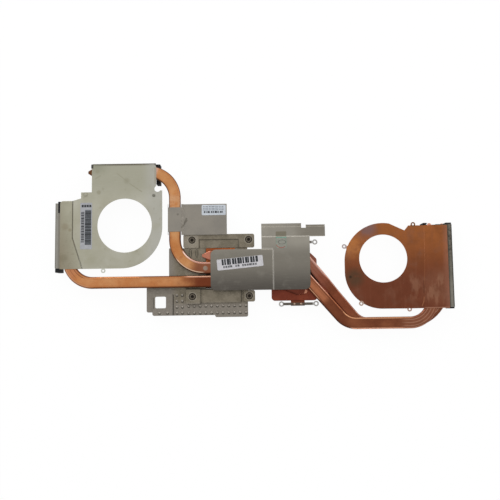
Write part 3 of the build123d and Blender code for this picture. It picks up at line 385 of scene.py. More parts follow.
def copper_pipe(name, dark, light, stain, roughness, marks):
    """Drawn copper: cloudy oxide, spots, drawing lines, painted shade towards both edges and a slightly wavy
    face.
    """
    f = PipeFinish(name, 0.9, roughness)
    tint = f.mix(f.ramp(f.grain(14, 3), 0.3, 0.7), dark, light)
    tint = f.mix(f.ramp(f.grain(4.2, 3, seed=21), 0.56, 0.76, 0.0, 0.35), tint, stain)
    tint = f.mix(f.ramp(f.grain(0.9, 2, seed=8), 0.66, 0.74, 0.0, 0.3), tint, stain)
    drawn = f.drawn(3.1)
    tint = f.mix(f.ramp(drawn, 0.5, 0.75, 0.0, 0.3), tint, light)
    # Darker towards both edges, in the stain's colour: painted shade on the pipe's rounded sides
    tint = f.mix(f.ramp(f.math("ABSOLUTE", f.across), 0.35, 0.95, 0.0, 0.5), tint, stain)
    tint = marks(f, tint)
    rough = f.ramp(f.grain(5, 4, seed=15), 0.3, 0.7, roughness - 0.07, roughness + 0.12)
    bumps = [(f.grain(6, 2, seed=2), 0.16), (drawn, 0.02), (f.grain(0.5, 2, seed=4), 0.012)]
    return f.done(tint, rough, bumps)


def rear_pipe_marks(f, tint):
    """A dark nub, painted shade on both edges, painted highlights beside dark edge lines in the lower bend,
    dull pink near the chip and a little solder beside the centre cover."""
    tint = f.paint(
        tint, 0.85,
        (f.ramp(f.along, 2, -1), "#3C2216"),
        (f.math("MULTIPLY", f.stretch(20, 66, 10), 0.15), "#8A5A30"),
        (f.both(f.stretch(80, 96, 10), f.ramp(f.grain(6, 3, seed=47), 0.3, 0.65)), "#CFA078"),
        (f.stretch(146, 190, 10), "#7E4B39"),
        (f.stretch(48.0, 50.4, 1.2), "#CFA08A"),
        # Dark lines on the edges are painted shade, pale ones painted highlights
        (f.edges(0.84, 48, 112, 4), "#4A2612"),
        (f.stripe(-0.95, 0.13, 112, 150, 3), "#5A2E18"),
        (f.stripe(0.97, 0.1, 112, 146, 3), "#4E2614"),
        (f.stripe(0.92, 0.15, 110, 123, 4), "#4A2612"),
        (f.stripe(0.78, 0.1, 128, 142, 4), "#F0D3C6"),
        (f.stripe(0.8, 0.16, 140, 166, 8), "#C59482"),
        (f.stripe(-0.78, 0.08, 130, 148, 4), "#F3D2B4"),
    )
    solder = f.both(f.spot(-40.1, -18.3, 1.5, 0.8), f.ramp(f.grain(2, 3, seed=91), 0.2, 0.45))
    return f.paint(tint, 0.85, (solder, "#9A8E80"))


def side_pipe_marks(f, tint):
    """Pink in the first bend, darker towards the chips, with edges in painted shade and painted highlights in
    the bend and on the upper edge near the chips.
    """
    near = f.math("ADD", f.x, f.ramp(f.grain(7, 3, seed=71), 0.2, 0.8, -5, 5))
    tint = f.mix(f.ramp(near, -70, -40), tint, "#753A22")
    tint = f.mix(f.ramp(f.x, 8, 16), tint, "#6B3527")
    return f.paint(
        tint, 0.75,
        (f.stretch(30, 51, 8), "#BE805A"),
        (f.stripe(0.5, 0.06, 44, 60, 5), "#74402A"),
        # Lines on the edges: dark ones are painted shade, pale ones painted highlights
        (f.stripe(0.88, 0.1, 44, 66, 5), "#6B3A21"),
        (f.stripe(-0.1, 0.05, 42, 54, 4), "#8E5638"),
        (f.stripe(-0.93, 0.13, 72, 190, 6), "#552B17"),
        (f.edges(0.88, 44, 72, 4), "#5A2E18"),
        (f.stripe(-0.72, 0.09, 48, 66, 6), "#CE9874"),
        (f.stripe(0.94, 0.15, 114, 142, 8), "#4A2616"),
        (f.stripe(0.8, 0.12, 152, 176, 8), "#D9A98E"),
        (f.ramp(f.along, 246.6, 247.4), "#D09274"),
    )


def outer_pipe_marks(f, tint):
    """Painted highlights on its edges and in a bright patch by the processor, painted shade on its lower
    edge, and pale lines in the curve.
    """
    lines = [(-0.5, 0.06), (0.0, 0.07), (0.5, 0.06)]
    return f.paint(
        tint, 0.8,
        (f.math("MULTIPLY", f.stretch(44, 70, 8), 0.7), "#6A3624"),
        # The bright patch and the pale edge lines are painted highlights, the near-black edge lines painted
        # shade
        (f.both(f.stripe(0.05, 0.62, 30, 46, 6), f.ramp(f.drawn(5.7), 0.25, 0.55)), "#C17A55"),
        (f.stripe(0.84, 0.07, 22, 44, 6), "#CFA08C"),
        (f.stripe(0.8, 0.08, 44, 60, 6), "#8E5638"),
        (f.stripe(0.8, 0.1, 68, 124, 6), "#C48E68"),
        (f.stripe(-0.77, 0.05, 18, 43, 3), "#EBB48E"),
        (f.stripe(-0.65, 0.05, 18, 34, 3), "#40200F"),
        (f.stripe(-0.95, 0.12, 45, 80, 3), "#40210F"),
        (f.stripe(-0.84, 0.1, 80, 132, 5), "#DDA080"),
        (f.math("MULTIPLY", f.stretch(122, 158, 8), 0.6), "#94604A"),
        *[(f.stripe(at, half, 124, 152, 8), "#B5846C") for at, half in lines],
        (f.ramp(f.along, 207, 210), "#C58A74"),
    )


def inner_pipe_marks(f, tint):
    """Pinkish beside the processor, with painted highlights on its upper edge and a painted shadow on its
    lower edge in the slit, and a pink nub at the graphics chip.
    """
    return f.paint(
        tint, 0.8,
        (f.ramp(f.along, 2, -1), "#BF7C66"),
        (f.both(f.stretch(72, 104, 8), f.ramp(f.drawn(2.3), 0.2, 0.55)), "#9A6454"),
        (f.math("MULTIPLY", f.stretch(100, 136, 8), 0.7), "#87452F"),
        # Pale lines on the upper edge: painted highlights
        (f.stripe(0.66, 0.13, 66, 96, 8), "#B48B80"),
        (f.stripe(0.9, 0.1, 76, 146, 8), "#B78F7F"),
        # Near-black lower edge in the slit between the pipes: painted shadow
        (f.stripe(-0.85, 0.25, 74, 88, 4), "#1C110A"),
        (f.stripe(-0.3, 0.08, 190, 236, 10), "#BE8C74"),
        (f.ramp(f.along, 277, 280), "#C58A74"),
    )


# Bright copper of the left pipes, browned where it was hot
rear_copper = copper_pipe("bright_copper_rear", "#C07D49", "#D09866", "#A5623A", 0.32, rear_pipe_marks)
side_copper = copper_pipe("bright_copper_side", "#C07A48", "#CE9261", "#A5623A", 0.32, side_pipe_marks)

# Oxidised red-brown copper of the right pipes
outer_copper = copper_pipe("oxidised_copper_outer", "#7B452E", "#94593B", "#633524", 0.33, outer_pipe_marks)
inner_copper = copper_pipe("oxidised_copper_inner", "#7B452E", "#94593B", "#633524", 0.33, inner_pipe_marks)


# Cast and folded metal

def base_copper_plate(name, dark, light, stain):
    """Milled copper with cloudy oxide, a painted shadow on the top of its front edge, a paler right end and a
    dark front tab.
    """
    f = Finish(name, 0.9, 0.37)
    tint = f.mix(f.ramp(f.grain(9, 4), 0.32, 0.68), dark, light)
    tint = f.mix(f.ramp(f.grain(3.2, 3, seed=21), 0.56, 0.72, 0.0, 0.55), tint, stain)
    # Painted shadow on top of the front edge, between the two left pipes
    front_shadow = f.both(f.ramp(f.y, -21.4, -22.2), f.ramp(f.x, 0, -10), f.ramp(f.z, 7.6, 8.2))
    tint = f.mix(front_shadow, tint, "#2A1810")
    tint = f.mix(f.both(f.ramp(f.x, 45.5, 47.5), f.ramp(f.y, -22, -16)), tint, "#8A5343")
    tint = f.mix(f.ramp(f.y, -45.2, -46.6, 0.0, 0.7), tint, "#55392C")
    milled = f.grain(0.4, 2, seed=4, stretch=(20, 1, 1))
    return f.done(tint, f.ramp(f.grain(5, 4, seed=15), 0.3, 0.7, 0.3, 0.48), [(milled, 0.01)])


# Copper of the graphics chip's base, with a painted shadow along its front edge, and the redder one of the
# processor's
base_copper = base_copper_plate("base_plate_copper", "#96502B", "#AE6437", "#7E3F22")
cpu_copper = base_copper_plate("red_base_copper", "#733628", "#86432F", "#5A291D")


def cast_alloy():
    """Die-cast alloy: mottled olive grey with a grainy skin, and painted shade along its steps, under the
    side pipe and between the two left pipes.
    """
    f = Finish("die_cast_alloy", 0.55, 0.5)
    tint = f.mix(f.ramp(f.grain(6, 5), 0.3, 0.7), "#706858", "#847B6B")
    tint = f.mix(f.ramp(f.y, -45, -49, 0.0, 0.85), tint, "#867F76")
    tint = f.mix(f.ramp(f.x, -63, -70, 0.0, 0.85), tint, "#867F76")
    tint = f.mix(f.both(f.ramp(f.x, -45.5, -46.5, 0.0, 0.6), f.ramp(f.y, -4, -1)), tint, "#968E80")
    tint = f.mix(f.ramp(f.grain(0.8, 3, seed=9), 0.55, 0.75, 0.0, 0.4), tint, "#565041")
    tint = f.mix(f.ramp(f.grain(1.3, 3, seed=29), 0.6, 0.78, 0.0, 0.45), tint, "#9A9284")
    tint = f.paint(
        tint, 0.6,
        # Dark lines: painted shade along the steps, under the side pipe and between the two left pipes
        (f.line((-45.2, 5.6), (-12.8, 5.6), 0.1, 0.4), "#36322A"),
        (f.line((-45.3, 5.6), (-45.3, -1.3), 0.1, 0.4), "#36322A"),
        (f.line((-12.7, 5.6), (-12.7, -1.3), 0.1, 0.4), "#36322A"),
        (f.line((-10.9, -46.7), (-10.9, -36.1), 0.1, 0.4), "#36322A"),
        (f.line((-44.5, -46.7), (-44.5, -36.1), 0.1, 0.4), "#403C32"),
        (f.line((-83.4, -42.0), (-83.4, -51.0), 0.15, 0.4), "#2F2B23"),
        (f.line((-67.1, -39.9), (-67.1, -56.6), 0.3, 0.6), "#38332A"),
        (f.line((-56.5, -35.0), (-36.0, -35.2), 0.5, 0.4), "#1B1610"),
        (f.line((-39.8, -2.8), (-39.8, -12.6), 0.2, 0.5), "#231E17"),
        (f.line((-46.0, -23.6), (-36.0, -23.6), 0.7, 0.4), "#1B1610"),
        *[(f.ring(x, y, 3.2, 0.1, 0.6), "#A49C8E") for x, y in SCREWS],
    )
    rough = f.ramp(f.grain(2, 4, seed=13), 0.3, 0.7, 0.42, 0.62)
    return f.done(tint, rough, [(f.grain(0.7, 4, seed=17), 0.08), (f.grain(4, 3, seed=19), 0.15)])


cast_metal = cast_alloy()


def folded_fins(name, dark, light, dull):
    """Folded aluminium: mottled with a dull tone, with a painted shadow of the copper cover's edge on the
    right stack, specked with oxide, with a dark outer edge.
    """
    f = Finish(name, 0.7, 0.38)
    tint = f.mix(f.ramp(f.grain(5, 4), 0.3, 0.7), dark, light)
    tint = f.mix(f.ramp(f.grain(1.2, 3, seed=31), 0.56, 0.72, 0.0, 0.5), tint, dull)
    specks = f.ramp(f.grain(1.7, 3, seed=57), 0.48, 0.6)
    tint = f.paint(
        tint, 0.8,
        # Beside the copper cover on the right stack: a painted shadow of the cover's edge; on the left stack
        # it tints the whole strip
        (f.ramp(f.x, 162.2, 160.8), dull),
        (f.both(f.ramp(f.x, 160.6, 161.4), f.ramp(f.y, -18, -40, 0.0, 0.7)), "#8E897F"),
        (f.both(specks, f.patch((160.6, -10), (164.3, 10), 3)), "#403C35"),
        (f.ramp(f.x, 163.0, 163.8), "#2A2823"),
        (f.ramp(f.x, -163.2, -163.9), "#6F6C64"),
        (f.between(f.x, -161.6, -160.0, 0.6), "#7C776C"),
        (f.ramp(f.y, 68.9, 69.5), "#2F2620"),
    )
    return f.done(tint, None, [(f.grain(0.9, 3, seed=6), 0.05)])


# Folded aluminium fins: warm grey on the left, tarnished olive on the right
left_fins = folded_fins("bright_folded_aluminium", "#A6A49D", "#C8C5BD", "#85827A")
right_fins = folded_fins("dull_folded_aluminium", "#646056", "#7A756B", "#4A4438")


# Small parts

def plain(name, dark, light, metallic, roughness, size, depth):
    """A finish with fine mottle of a size and a little relief of a depth, both in millimetres."""
    f = Finish(name, metallic, roughness)
    tint = f.mix(f.ramp(f.grain(size, 4), 0.3, 0.7), dark, light)
    rough = f.ramp(f.grain(size * 2, 3, seed=5), 0.3, 0.7, roughness - 0.06, roughness + 0.08)
    return f.done(tint, rough, [(f.grain(size, 3, seed=2), depth)])


CLIP_MIDDLE = 35.8
SEAL_MIDDLE = 22.7


def spring_strip():
    """Spring strip: dark oxide on the bars, bright screw eyes, brown between the rivets."""
    f = Finish("oxidised_spring_strip", 0.9, 0.34)
    tint = f.mix(f.ramp(f.grain(1.5, 4), 0.3, 0.7), "#5F5951", "#736D64")
    away = f.math("ABSOLUTE", f.math("SUBTRACT", f.x, CLIP_MIDDLE))
    tint = f.mix(f.ramp(away, 6.2, 5.2, 0.0, 0.7), tint, "#5A463A")
    tint = f.mix(f.ramp(away, 11.6, 12.8), tint, "#B6B3AF")
    coppery = f.both(f.ramp(f.y, -47.9, -47.3), f.ramp(f.y, -40, -44), f.ramp(away, 9, 7))
    tint = f.mix(coppery, tint, "#77402C")
    return f.done(tint, None, [(f.grain(0.5, 2, seed=2, stretch=(12, 1, 1)), 0.01)])


spring_steel = spring_strip()

# Zinc-plated steel of the rivets and washers, tinted warm as a painted reflection of the copper around it,
# worn grey steel of the screw heads, and the screws in near-black as painted shade in sockets and round heads
rivet_steel = plain("zinc_plated_steel", "#967F70", "#B59A88", 0.85, 0.34, 0.8, 0.01)
worn_steel = plain("worn_grey_steel", "#554D42", "#6E665A", 0.8, 0.36, 0.8, 0.01)
screw_steel = plain("near_black_screw_shade", "#17120D", "#2A2219", 0.7, 0.45, 0.8, 0.01)

# Near-black paint in the slit between the pipes, which stands for the shade there, painted shadow at the
# casting's pins and ribs, and the pins' paler alloy as a painted highlight
slit_shade_paint = plain("painted_slit_shade", "#1F140D", "#33221A", 0.3, 0.5, 0.7, 0.03)
pin_shade_paint = plain("painted_pin_shade", "#38342C", "#4A453A", 0.3, 0.6, 0.7, 0.01)
pin_metal = plain("highlit_pin_alloy", "#918A80", "#A69F95", 0.55, 0.45, 0.9, 0.03)

# Open-cell black foam
foam_black = plain("open_cell_foam", "#0C0C0D", "#1C1C1E", 0.0, 0.92, 0.35, 0.25)

# Silicone thermal pad
pad_blue = plain("silicone_thermal_pad", "#8A97A8", "#9BA7B6", 0.0, 0.6, 0.9, 0.05)

# Printed label films and inks
label_white = plain("white_label_film", "#B6BCC3", "#C2C8CF", 0.0, 0.42, 4.0, 0.01)
label_silver = plain("silver_label_film", "#B9B7BA", "#C4C2C5", 0.0, 0.4, 4.0, 0.01)
label_grey = plain("grey_label_film", "#9A9BA0", "#A6A7AA", 0.1, 0.4, 3.0, 0.01)
label_ink = plain("black_label_ink", "#131619", "#22272B", 0.0, 0.5, 0.9, 0.004)
grey_ink = plain("grey_label_ink", "#5A5E63", "#6C7076", 0.0, 0.5, 0.9, 0.004)
seal_green = plain("green_seal_ink", "#5E8B7A", "#74A08E", 0.1, 0.45, 0.8, 0.004)
seal_red = plain("red_seal_ink", "#8A5046", "#A06052", 0.1, 0.45, 0.8, 0.004)
seal_dark = plain("dark_seal_ink", "#4A4A46", "#5C5C56", 0.1, 0.45, 0.8, 0.004)


def clear_seal():
    """Seal film: grey with a green tinge at its sides, olive where it folds over the step."""
    f = Finish("clear_seal_film", 0.35, 0.34)
    tint = f.mix(f.ramp(f.grain(2, 4), 0.3, 0.7), "#84857B", "#949388")
    side = f.ramp(f.math("ABSOLUTE", f.math("SUBTRACT", f.x, SEAL_MIDDLE)), 3.4, 4.3)
    tint = f.mix(f.math("MULTIPLY", side, 0.6), tint, "#78907F")
    tint = f.mix(f.ramp(f.y, 7.0, 7.8), tint, "#767060")
    return f.done(tint, None, [(f.grain(3, 2, seed=2), 0.03)])


seal_film = clear_seal()


# Shapes

def piece(bm, name, material, replaced=(), sharp=50):
    """Turns a bmesh in metres into a piece of the part."""
    mesh = bpy.data.meshes.new(name)
    bm.to_mesh(mesh)
    bm.free()
    mesh.materials.append(material)
    mesh.polygons.foreach_set("use_smooth", [True] * len(mesh.polygons))
    mesh.set_sharp_from_angle(angle=math.radians(sharp))
    thing = bpy.data.objects.new(name, mesh)
    bpy.context.scene.collection.objects.link(thing)
    even = thing.modifiers.new("even_normals", "WEIGHTED_NORMAL")
    even.keep_sharp = True
    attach(thing, "root")
    if replaced:
        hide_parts(*replaced)
    return thing


def join(bm, part):
    """Adds one bmesh to another."""
    mesh = bpy.data.meshes.new("part")
    part.to_mesh(mesh)
    part.free()
    bm.from_mesh(mesh)
    bpy.data.meshes.remove(mesh)


def bevel(bm, edges, radius, segments, clamp=True):
    """Rounds edges by a radius in millimetres."""
    bmesh.ops.bevel(
        bm, geom=edges, offset=radius * MM, offset_type="OFFSET", segments=segments, profile=0.5,
        affect="EDGES", clamp_overlap=clamp, material=-1,
    )


CAD_CORNER = 2.5
WORN_CORNER = 4.6
CORNER_REACH = 0.4
CURVE_REACH = 1.04 * CAD_CORNER
FLAT_ANGLE = math.radians(0.5)
EDGE_ANGLE = math.radians(25)
WELD = 1e-6
FINE_WELD = 1e-7


def upright_at(edge, x, y):
    """Whether an edge stands upright at a place in the plan."""
    return all((Vector(v.co.xy) - Vector((x, y)) * MM).length < CORNER_REACH * MM for v in edge.verts)


def softened(node, material, radius, shortest=0.0, corners=()):
    """A copy of a CAD node with its long edges and the given corners rounded, which stands for the node."""
    bm = bmesh.new()
    bm.from_mesh(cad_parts[node].data)
    bmesh.ops.remove_doubles(bm, verts=bm.verts, dist=WELD)
    bmesh.ops.dissolve_limit(bm, angle_limit=FLAT_ANGLE, verts=bm.verts, edges=bm.edges)
    posts = [e for e in bm.edges if any(upright_at(e, x, y) for x, y in corners)]
    bevel(bm, posts, CAD_CORNER, 8, clamp=False)
    growth = WORN_CORNER / CAD_CORNER
    for x, y in corners:
        place = Vector((x, y)) * MM
        curve = [v for v in bm.verts if (v.co.xy - place).length < CURVE_REACH * MM]
        about = Matrix.Translation((-place.x, -place.y, 0))
        bmesh.ops.scale(bm, vec=(growth, growth, 1), space=about, verts=curve)
    edges = [
        e for e in bm.edges
        if len(e.link_faces) == 2
        and e.calc_face_angle(0) > EDGE_ANGLE
        and e.calc_length() > shortest * MM
    ]
    bevel(bm, edges, radius, 2)
    piece(bm, node + "_finish", material, [node])


def turned(bm, profile, x, y, steps, stretch=1.0):
    """Spins points of radius and height about an upright axis, and can draw the round out into an oval."""
    part = bmesh.new()
    points = [part.verts.new((r * MM, 0, z * MM)) for r, z in profile]
    edges = [part.edges.new(pair) for pair in zip(points, points[1:])]
    bmesh.ops.spin(
        part, geom=points + edges, cent=(0, 0, 0), axis=UP, angle=2 * math.pi, steps=steps, use_merge=True
    )
    bmesh.ops.remove_doubles(part, verts=part.verts, dist=FINE_WELD)
    bmesh.ops.recalc_face_normals(part, faces=part.faces)
    bmesh.ops.scale(part, vec=(1, stretch, 1), verts=part.verts)
    bmesh.ops.translate(part, vec=(x * MM, y * MM, 0), verts=part.verts)
    join(bm, part)


def flat_ring(bm, x, y, z, inner, outer, thick, stretch=1.0):
    """A thin flat ring."""
    profile = [(inner, z), (outer, z), (outer, z + thick), (inner, z + thick), (inner, z)]
    turned(bm, profile, x, y, steps=32, stretch=stretch)


def slabs(bm, boxes, z, thick, at=(0, 0), turn=0.0):
    """Thin printed or raised bars, each given by two corners on a turned plane."""
    place = Matrix.Translation((at[0] * MM, at[1] * MM, z * MM)) @ Matrix.Rotation(math.radians(turn), 4, "Z")
    for x0, y0, x1, y1 in boxes:
        cube = bmesh.ops.create_cube(bm, size=1.0)["verts"]
        bmesh.ops.scale(bm, vec=((x1 - x0) * MM, (y1 - y0) * MM, thick * MM), verts=cube)
        bmesh.ops.translate(bm, vec=((x0 + x1) / 2 * MM, (y0 + y1) / 2 * MM, thick / 2 * MM), verts=cube)
        bmesh.ops.transform(bm, matrix=place, verts=cube)


SKIN_WAVES = 900


def soft_block(name, node, boxes, material, edge, cell, wave):
    """Foam or pad blocks with rounded edges and an uneven skin, which stand for a CAD node."""
    bm = bmesh.new()
    for low, high in boxes:
        part = bmesh.new()
        cube = bmesh.ops.create_cube(part, size=1.0)["verts"]
        bmesh.ops.scale(part, vec=[(b - a) * MM for a, b in zip(low, high)], verts=cube)
        bmesh.ops.translate(part, vec=[(a + b) / 2 * MM for a, b in zip(low, high)], verts=cube)
        bevel(part, part.edges[:], edge, 3)
        for axis in range(3):
            normal = [1.0 if i == axis else 0.0 for i in range(3)]
            count = max(1, round((high[axis] - low[axis]) / cell))
            for i in range(1, count):
                where = [0, 0, 0]
                where[axis] = (low[axis] + (high[axis] - low[axis]) * i / count) * MM
                bmesh.ops.bisect_plane(
                    part, geom=part.verts[:] + part.edges[:] + part.faces[:], plane_co=where, plane_no=normal
                )
        part.normal_update()
        for v in part.verts:
            v.co -= v.normal * wave * MM * (0.5 + 0.5 * noise.noise(v.co * SKIN_WAVES))
        join(bm, part)
    piece(bm, name, material, [node], sharp=80)


# Heat pipes

PIPE_WIDTH = 9.8
INNER_WIDTH = 8.6
PIPE_THICK = 3.0
PIPE_SIDES = 32
LEFT_Z = 10.3
RIGHT_Z = 9.5
DIP_Z = 6.3
FRONT_Y = -65.1
NUB_LENGTH = 6.4
NUB_WIDTH = 2.6
NUB_THINNING = 1.5
NUB_STEPS = 9
NUB_CURVE = 1.15
NUB_TIP = [(6.75, 2.2, 1.2), (6.95, 1.6, 0.8), (7.0, 1.0, 0.4)]
BEND_STEP = math.radians(4)


def route(points, radii):
    """The centre line through corner points in millimetres, rounded by the bend radii."""
    corners = [Vector(p) for p in points]
    line = [corners[0]]
    for before, corner, after, radius in zip(corners, corners[1:], corners[2:], radii):
        d0 = (corner - before).normalized()
        d1 = (after - corner).normalized()
        angle = d0.angle(d1)
        start = corner - d0 * radius * math.tan(angle / 2)
        middle = corner + (d1 - d0).normalized() * radius / math.cos(angle / 2)
        turns = max(2, math.ceil(angle / BEND_STEP))
        for i in range(turns + 1):
            turn = Matrix.Rotation(angle * i / turns, 3, d0.cross(d1))
            line.append(middle + turn @ (start - middle))
    return line + [corners[-1]]


def stations(line, width):
    """Places along a pipe with its width and thickness there, pinched to a nub at each end."""
    shares = [(i / NUB_STEPS) ** NUB_CURVE for i in range(1, NUB_STEPS + 1)]
    nub = [
        (NUB_LENGTH * i / NUB_STEPS, width - (width - NUB_WIDTH) * s, PIPE_THICK - NUB_THINNING * s)
        for i, s in enumerate(shares, 1)
    ]
    nub += NUB_TIP
    back = (line[0] - line[1]).normalized()
    ahead = (line[-1] - line[-2]).normalized()
    first = [(line[0] + back * d, w, t) for d, w, t in reversed(nub)]
    last = [(line[-1] + ahead * d, w, t) for d, w, t in nub]
    return first + [(p, width, PIPE_THICK) for p in line] + last


def pipe(node, points, radii, width, material):
    """A round pipe pressed flat: a flat oval drawn along its route."""
    line = route(points, radii)
    places = stations(line, width)
    bm = bmesh.new()
    along_layer = bm.verts.layers.float.new("along")
    across_layer = bm.verts.layers.float.new("across")
    half_step = Matrix.Rotation(math.pi / PIPE_SIDES, 4, "Z")
    ring = bmesh.ops.create_circle(
        bm, segments=PIPE_SIDES, radius=PIPE_THICK / 2 * MM, matrix=half_step
    )["verts"]
    for way in (1, -1):
        half = [v for v in ring if v.co.x * way > 0]
        bmesh.ops.translate(bm, vec=(way * (width - PIPE_THICK) / 2 * MM, 0, 0), verts=half)
    before = Matrix.Identity(4)
    travelled = -(line[0] - places[0][0]).length
    for i, (p, w, t) in enumerate(places):
        if i:
            rim = dict.fromkeys(e for v in ring for e in v.link_edges if all(end in ring for end in e.verts))
            grown = bmesh.ops.extrude_edge_only(bm, edges=list(rim))["geom"]
            ring = [v for v in grown if isinstance(v, bmesh.types.BMVert)]
            travelled += (p - places[i - 1][0]).length
        heading = (places[min(i + 1, len(places) - 1)][0] - places[max(i - 1, 0)][0]).normalized()
        side = UP.cross(heading).normalized()
        turn = Matrix((side, heading.cross(side), heading)).transposed().to_4x4()
        squeeze = Matrix.Diagonal((w / width, t / PIPE_THICK, 1, 1))
        here = Matrix.Translation(p * MM) @ turn @ squeeze
        bmesh.ops.transform(bm, matrix=here @ before.inverted(), verts=ring)
        before = here
        inverse = here.inverted()
        for v in ring:
            v[along_layer] = travelled
            v[across_layer] = (inverse @ v.co).x / (width / 2 * MM)
    bmesh.ops.holes_fill(bm, edges=bm.edges, sides=0)
    bmesh.ops.recalc_face_normals(bm, faces=bm.faces)
    piece(bm, node + "_finish", material, [node])


pipe(
    "left_rear_heat_pipe",
    [(-130.6, 63.1, LEFT_Z), (-65.2, 63.1, LEFT_Z), (-65.2, -17.9, LEFT_Z), (-15.7, -17.9, LEFT_Z)],
    [22.3, 23.6], PIPE_WIDTH, rear_copper,
)
pipe(
    "left_side_heat_pipe",
    [(-153.3, 30, LEFT_Z), (-153.3, -29.1, LEFT_Z), (5, -29.1, LEFT_Z),
     (13, -29.1, RIGHT_Z), (18, -29.1, RIGHT_Z), (37.0, -36.6, RIGHT_Z)],
    [20, 10, 10, 16], PIPE_WIDTH, side_copper,
)
pipe(
    "right_outer_heat_pipe",
    [(22, -18.5, RIGHT_Z), (35.1, -18.5, RIGHT_Z), (75.6, FRONT_Y, RIGHT_Z),
     (146, FRONT_Y, RIGHT_Z), (146, 9.7, RIGHT_Z)],
    [14, 17, 18.4], PIPE_WIDTH, outer_copper,
)
pipe(
    "right_inner_heat_pipe",
    [(-36, -7.9, LEFT_Z), (5, -7.9, LEFT_Z), (13, -7.9, RIGHT_Z), (39.7, -7.9, RIGHT_Z),
     (58.38, -30.78, RIGHT_Z), (66.09, -40.22, DIP_Z), (86.4, FRONT_Y, DIP_Z),
     (157.4, FRONT_Y, DIP_Z), (157.4, 9.7, DIP_Z)],
    [10, 10, 14, 10, 10, 17, 31], INNER_WIDTH, inner_copper,
)

# A dark bead in the slit between the two right pipes, which stands for the shade there, and the joint where
# they touch
SLIT = (50.4, -28.7)
SLIT_TURN = -49.8
SLIT_Z = 7.6
bead = bmesh.new()
slabs(bead, [(-10, -1.2, 5, 1.2)], SLIT_Z, thick=0.9, at=SLIT, turn=SLIT_TURN)
piece(bead, "pipe_slit_shade", slit_shade_paint)
joint = bmesh.new()
slabs(joint, [(4, -1.2, 15, 1.2)], SLIT_Z, thick=2.7, at=SLIT, turn=SLIT_TURN)
piece(joint, "pipe_joint", cpu_copper)

# Sheet covers, plates and clips with rounded edges
softened("left_fan_cover", left_sheet, radius=0.12, shortest=0.5)
softened("left_side_duct_cover", side_sheet, radius=0.12)
softened("right_fan_cover", cover_copper, radius=0.1, shortest=0.5)
cover_corners = [(-35.8, -3.1), (-35.8, -36.8), (46.3, -36.8)]
softened("centre_cover", centre_sheet, radius=0.12, shortest=0.3, corners=cover_corners)
softened("regulator_plate", regulator_sheet, radius=0.14)
softened("memory_plate", cast_metal, radius=0.3, shortest=1.2)
softened("cpu_base_plate", cpu_copper, radius=0.2, shortest=0.3)
softened("gpu_base_plate", base_copper, radius=0.15)
softened("lower_spring_clip", spring_steel, radius=0.12, shortest=0.1)
softened("upper_spring_clip", spring_steel, radius=0.12, shortest=0.1)
softened("gpu_screws", screw_steel, radius=0.1, shortest=0.1)
softened("screw_washers", rivet_steel, radius=0.08, shortest=0.1)

# Fin stacks and label films keep their CAD shape
for node, finish in (
    ("left_rear_fin_stack", left_fins), ("left_side_fin_stack", left_fins), ("right_fin_stack", right_fins),
    ("left_cover_label", label_grey), ("regulator_label", label_white), ("centre_label", label_silver),
    ("seal_label", seal_film),
):
    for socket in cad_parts[node].material_slots:
        socket.material = finish

# Round pins on the casting, over the CAD ones, in a paler alloy as a painted highlight, with a painted shadow
# in front of each
PIN = [(0, -0.1), (1.06, -0.1), (1.0, 0.1), (0.56, 0.7), (0.36, 0.8), (0, 0.84)]
PIN_FOOT = [(0, -0.02), (1.15, -0.02), (1.1, 0.03), (0, 0.03)]
PIN_FOOT_SHIFT = (0.1, -0.75)
# Each field of pins: its first pin, the steps between pins, and the count of columns and rows
PIN_FIELDS = [
    ((-54.5, -54.75, 7.8), (4.73, 5.7), (11, 2)),
    ((-64.15, -54.5, 7.8), (4.5, 4.85), (2, 4)),
    ((-78.5, -54.4, 8.4), (6.6, 0), (2, 1)),
]
pins = bmesh.new()
pin_feet = bmesh.new()
for (first_x, first_y, floor_z), (step_x, step_y), (columns, rows) in PIN_FIELDS:
    pin = [(r, floor_z + z) for r, z in PIN]
    foot = [(r, floor_z + z) for r, z in PIN_FOOT]
    for x, y in [(first_x + step_x * i, first_y + step_y * j) for i in range(columns) for j in range(rows)]:
        turned(pins, pin, x, y, steps=16)
        turned(pin_feet, foot, x + PIN_FOOT_SHIFT[0], y + PIN_FOOT_SHIFT[1], steps=20, stretch=0.8)
piece(pins, "casting_pins", pin_metal)
piece(pin_feet, "casting_pin_shadows", pin_shade_paint)

# Ribs beside the graphics chip's base, outlined in painted shade
RIBS = [(-52.75, -5.6), (-47.25, -5.6)]
rib_feet = bmesh.new()
for x, y in RIBS:
    flat_ring(rib_feet, x, y, z=8.78, inner=0.75, outer=1.25, thick=0.05, stretch=2.8)
piece(rib_feet, "casting_rib_shadows", pin_shade_paint)

# Worn rims on the screw heads, with the near-black screw showing as painted shade in the socket and round the
# head
screw_rims = bmesh.new()
for x, y in SCREWS:
    flat_ring(screw_rims, x, y, z=9.38, inner=1.35, outer=2.3, thick=0.1)
piece(screw_rims, "screw_head_rims", worn_steel)

# Domed rivets through the processor base's tabs and the clips
RIVET = [
    (0, 5.22), (0.6, 5.26), (0.9, 5.42), (0.95, 5.6), (0.6, 5.62),
    (0.6, 6.98), (0.95, 7.0), (0.92, 7.15), (0.65, 7.34), (0, 7.4),
]
RIVETS = [(x, y) for x in (33.0, 38.6) for y in (-48.6, 2.6)]
rivets = bmesh.new()
for x, y in RIVETS:
    turned(rivets, RIVET, x, y, steps=24)
piece(rivets, "clip_rivets_finish", rivet_steel, ["clip_rivets"])

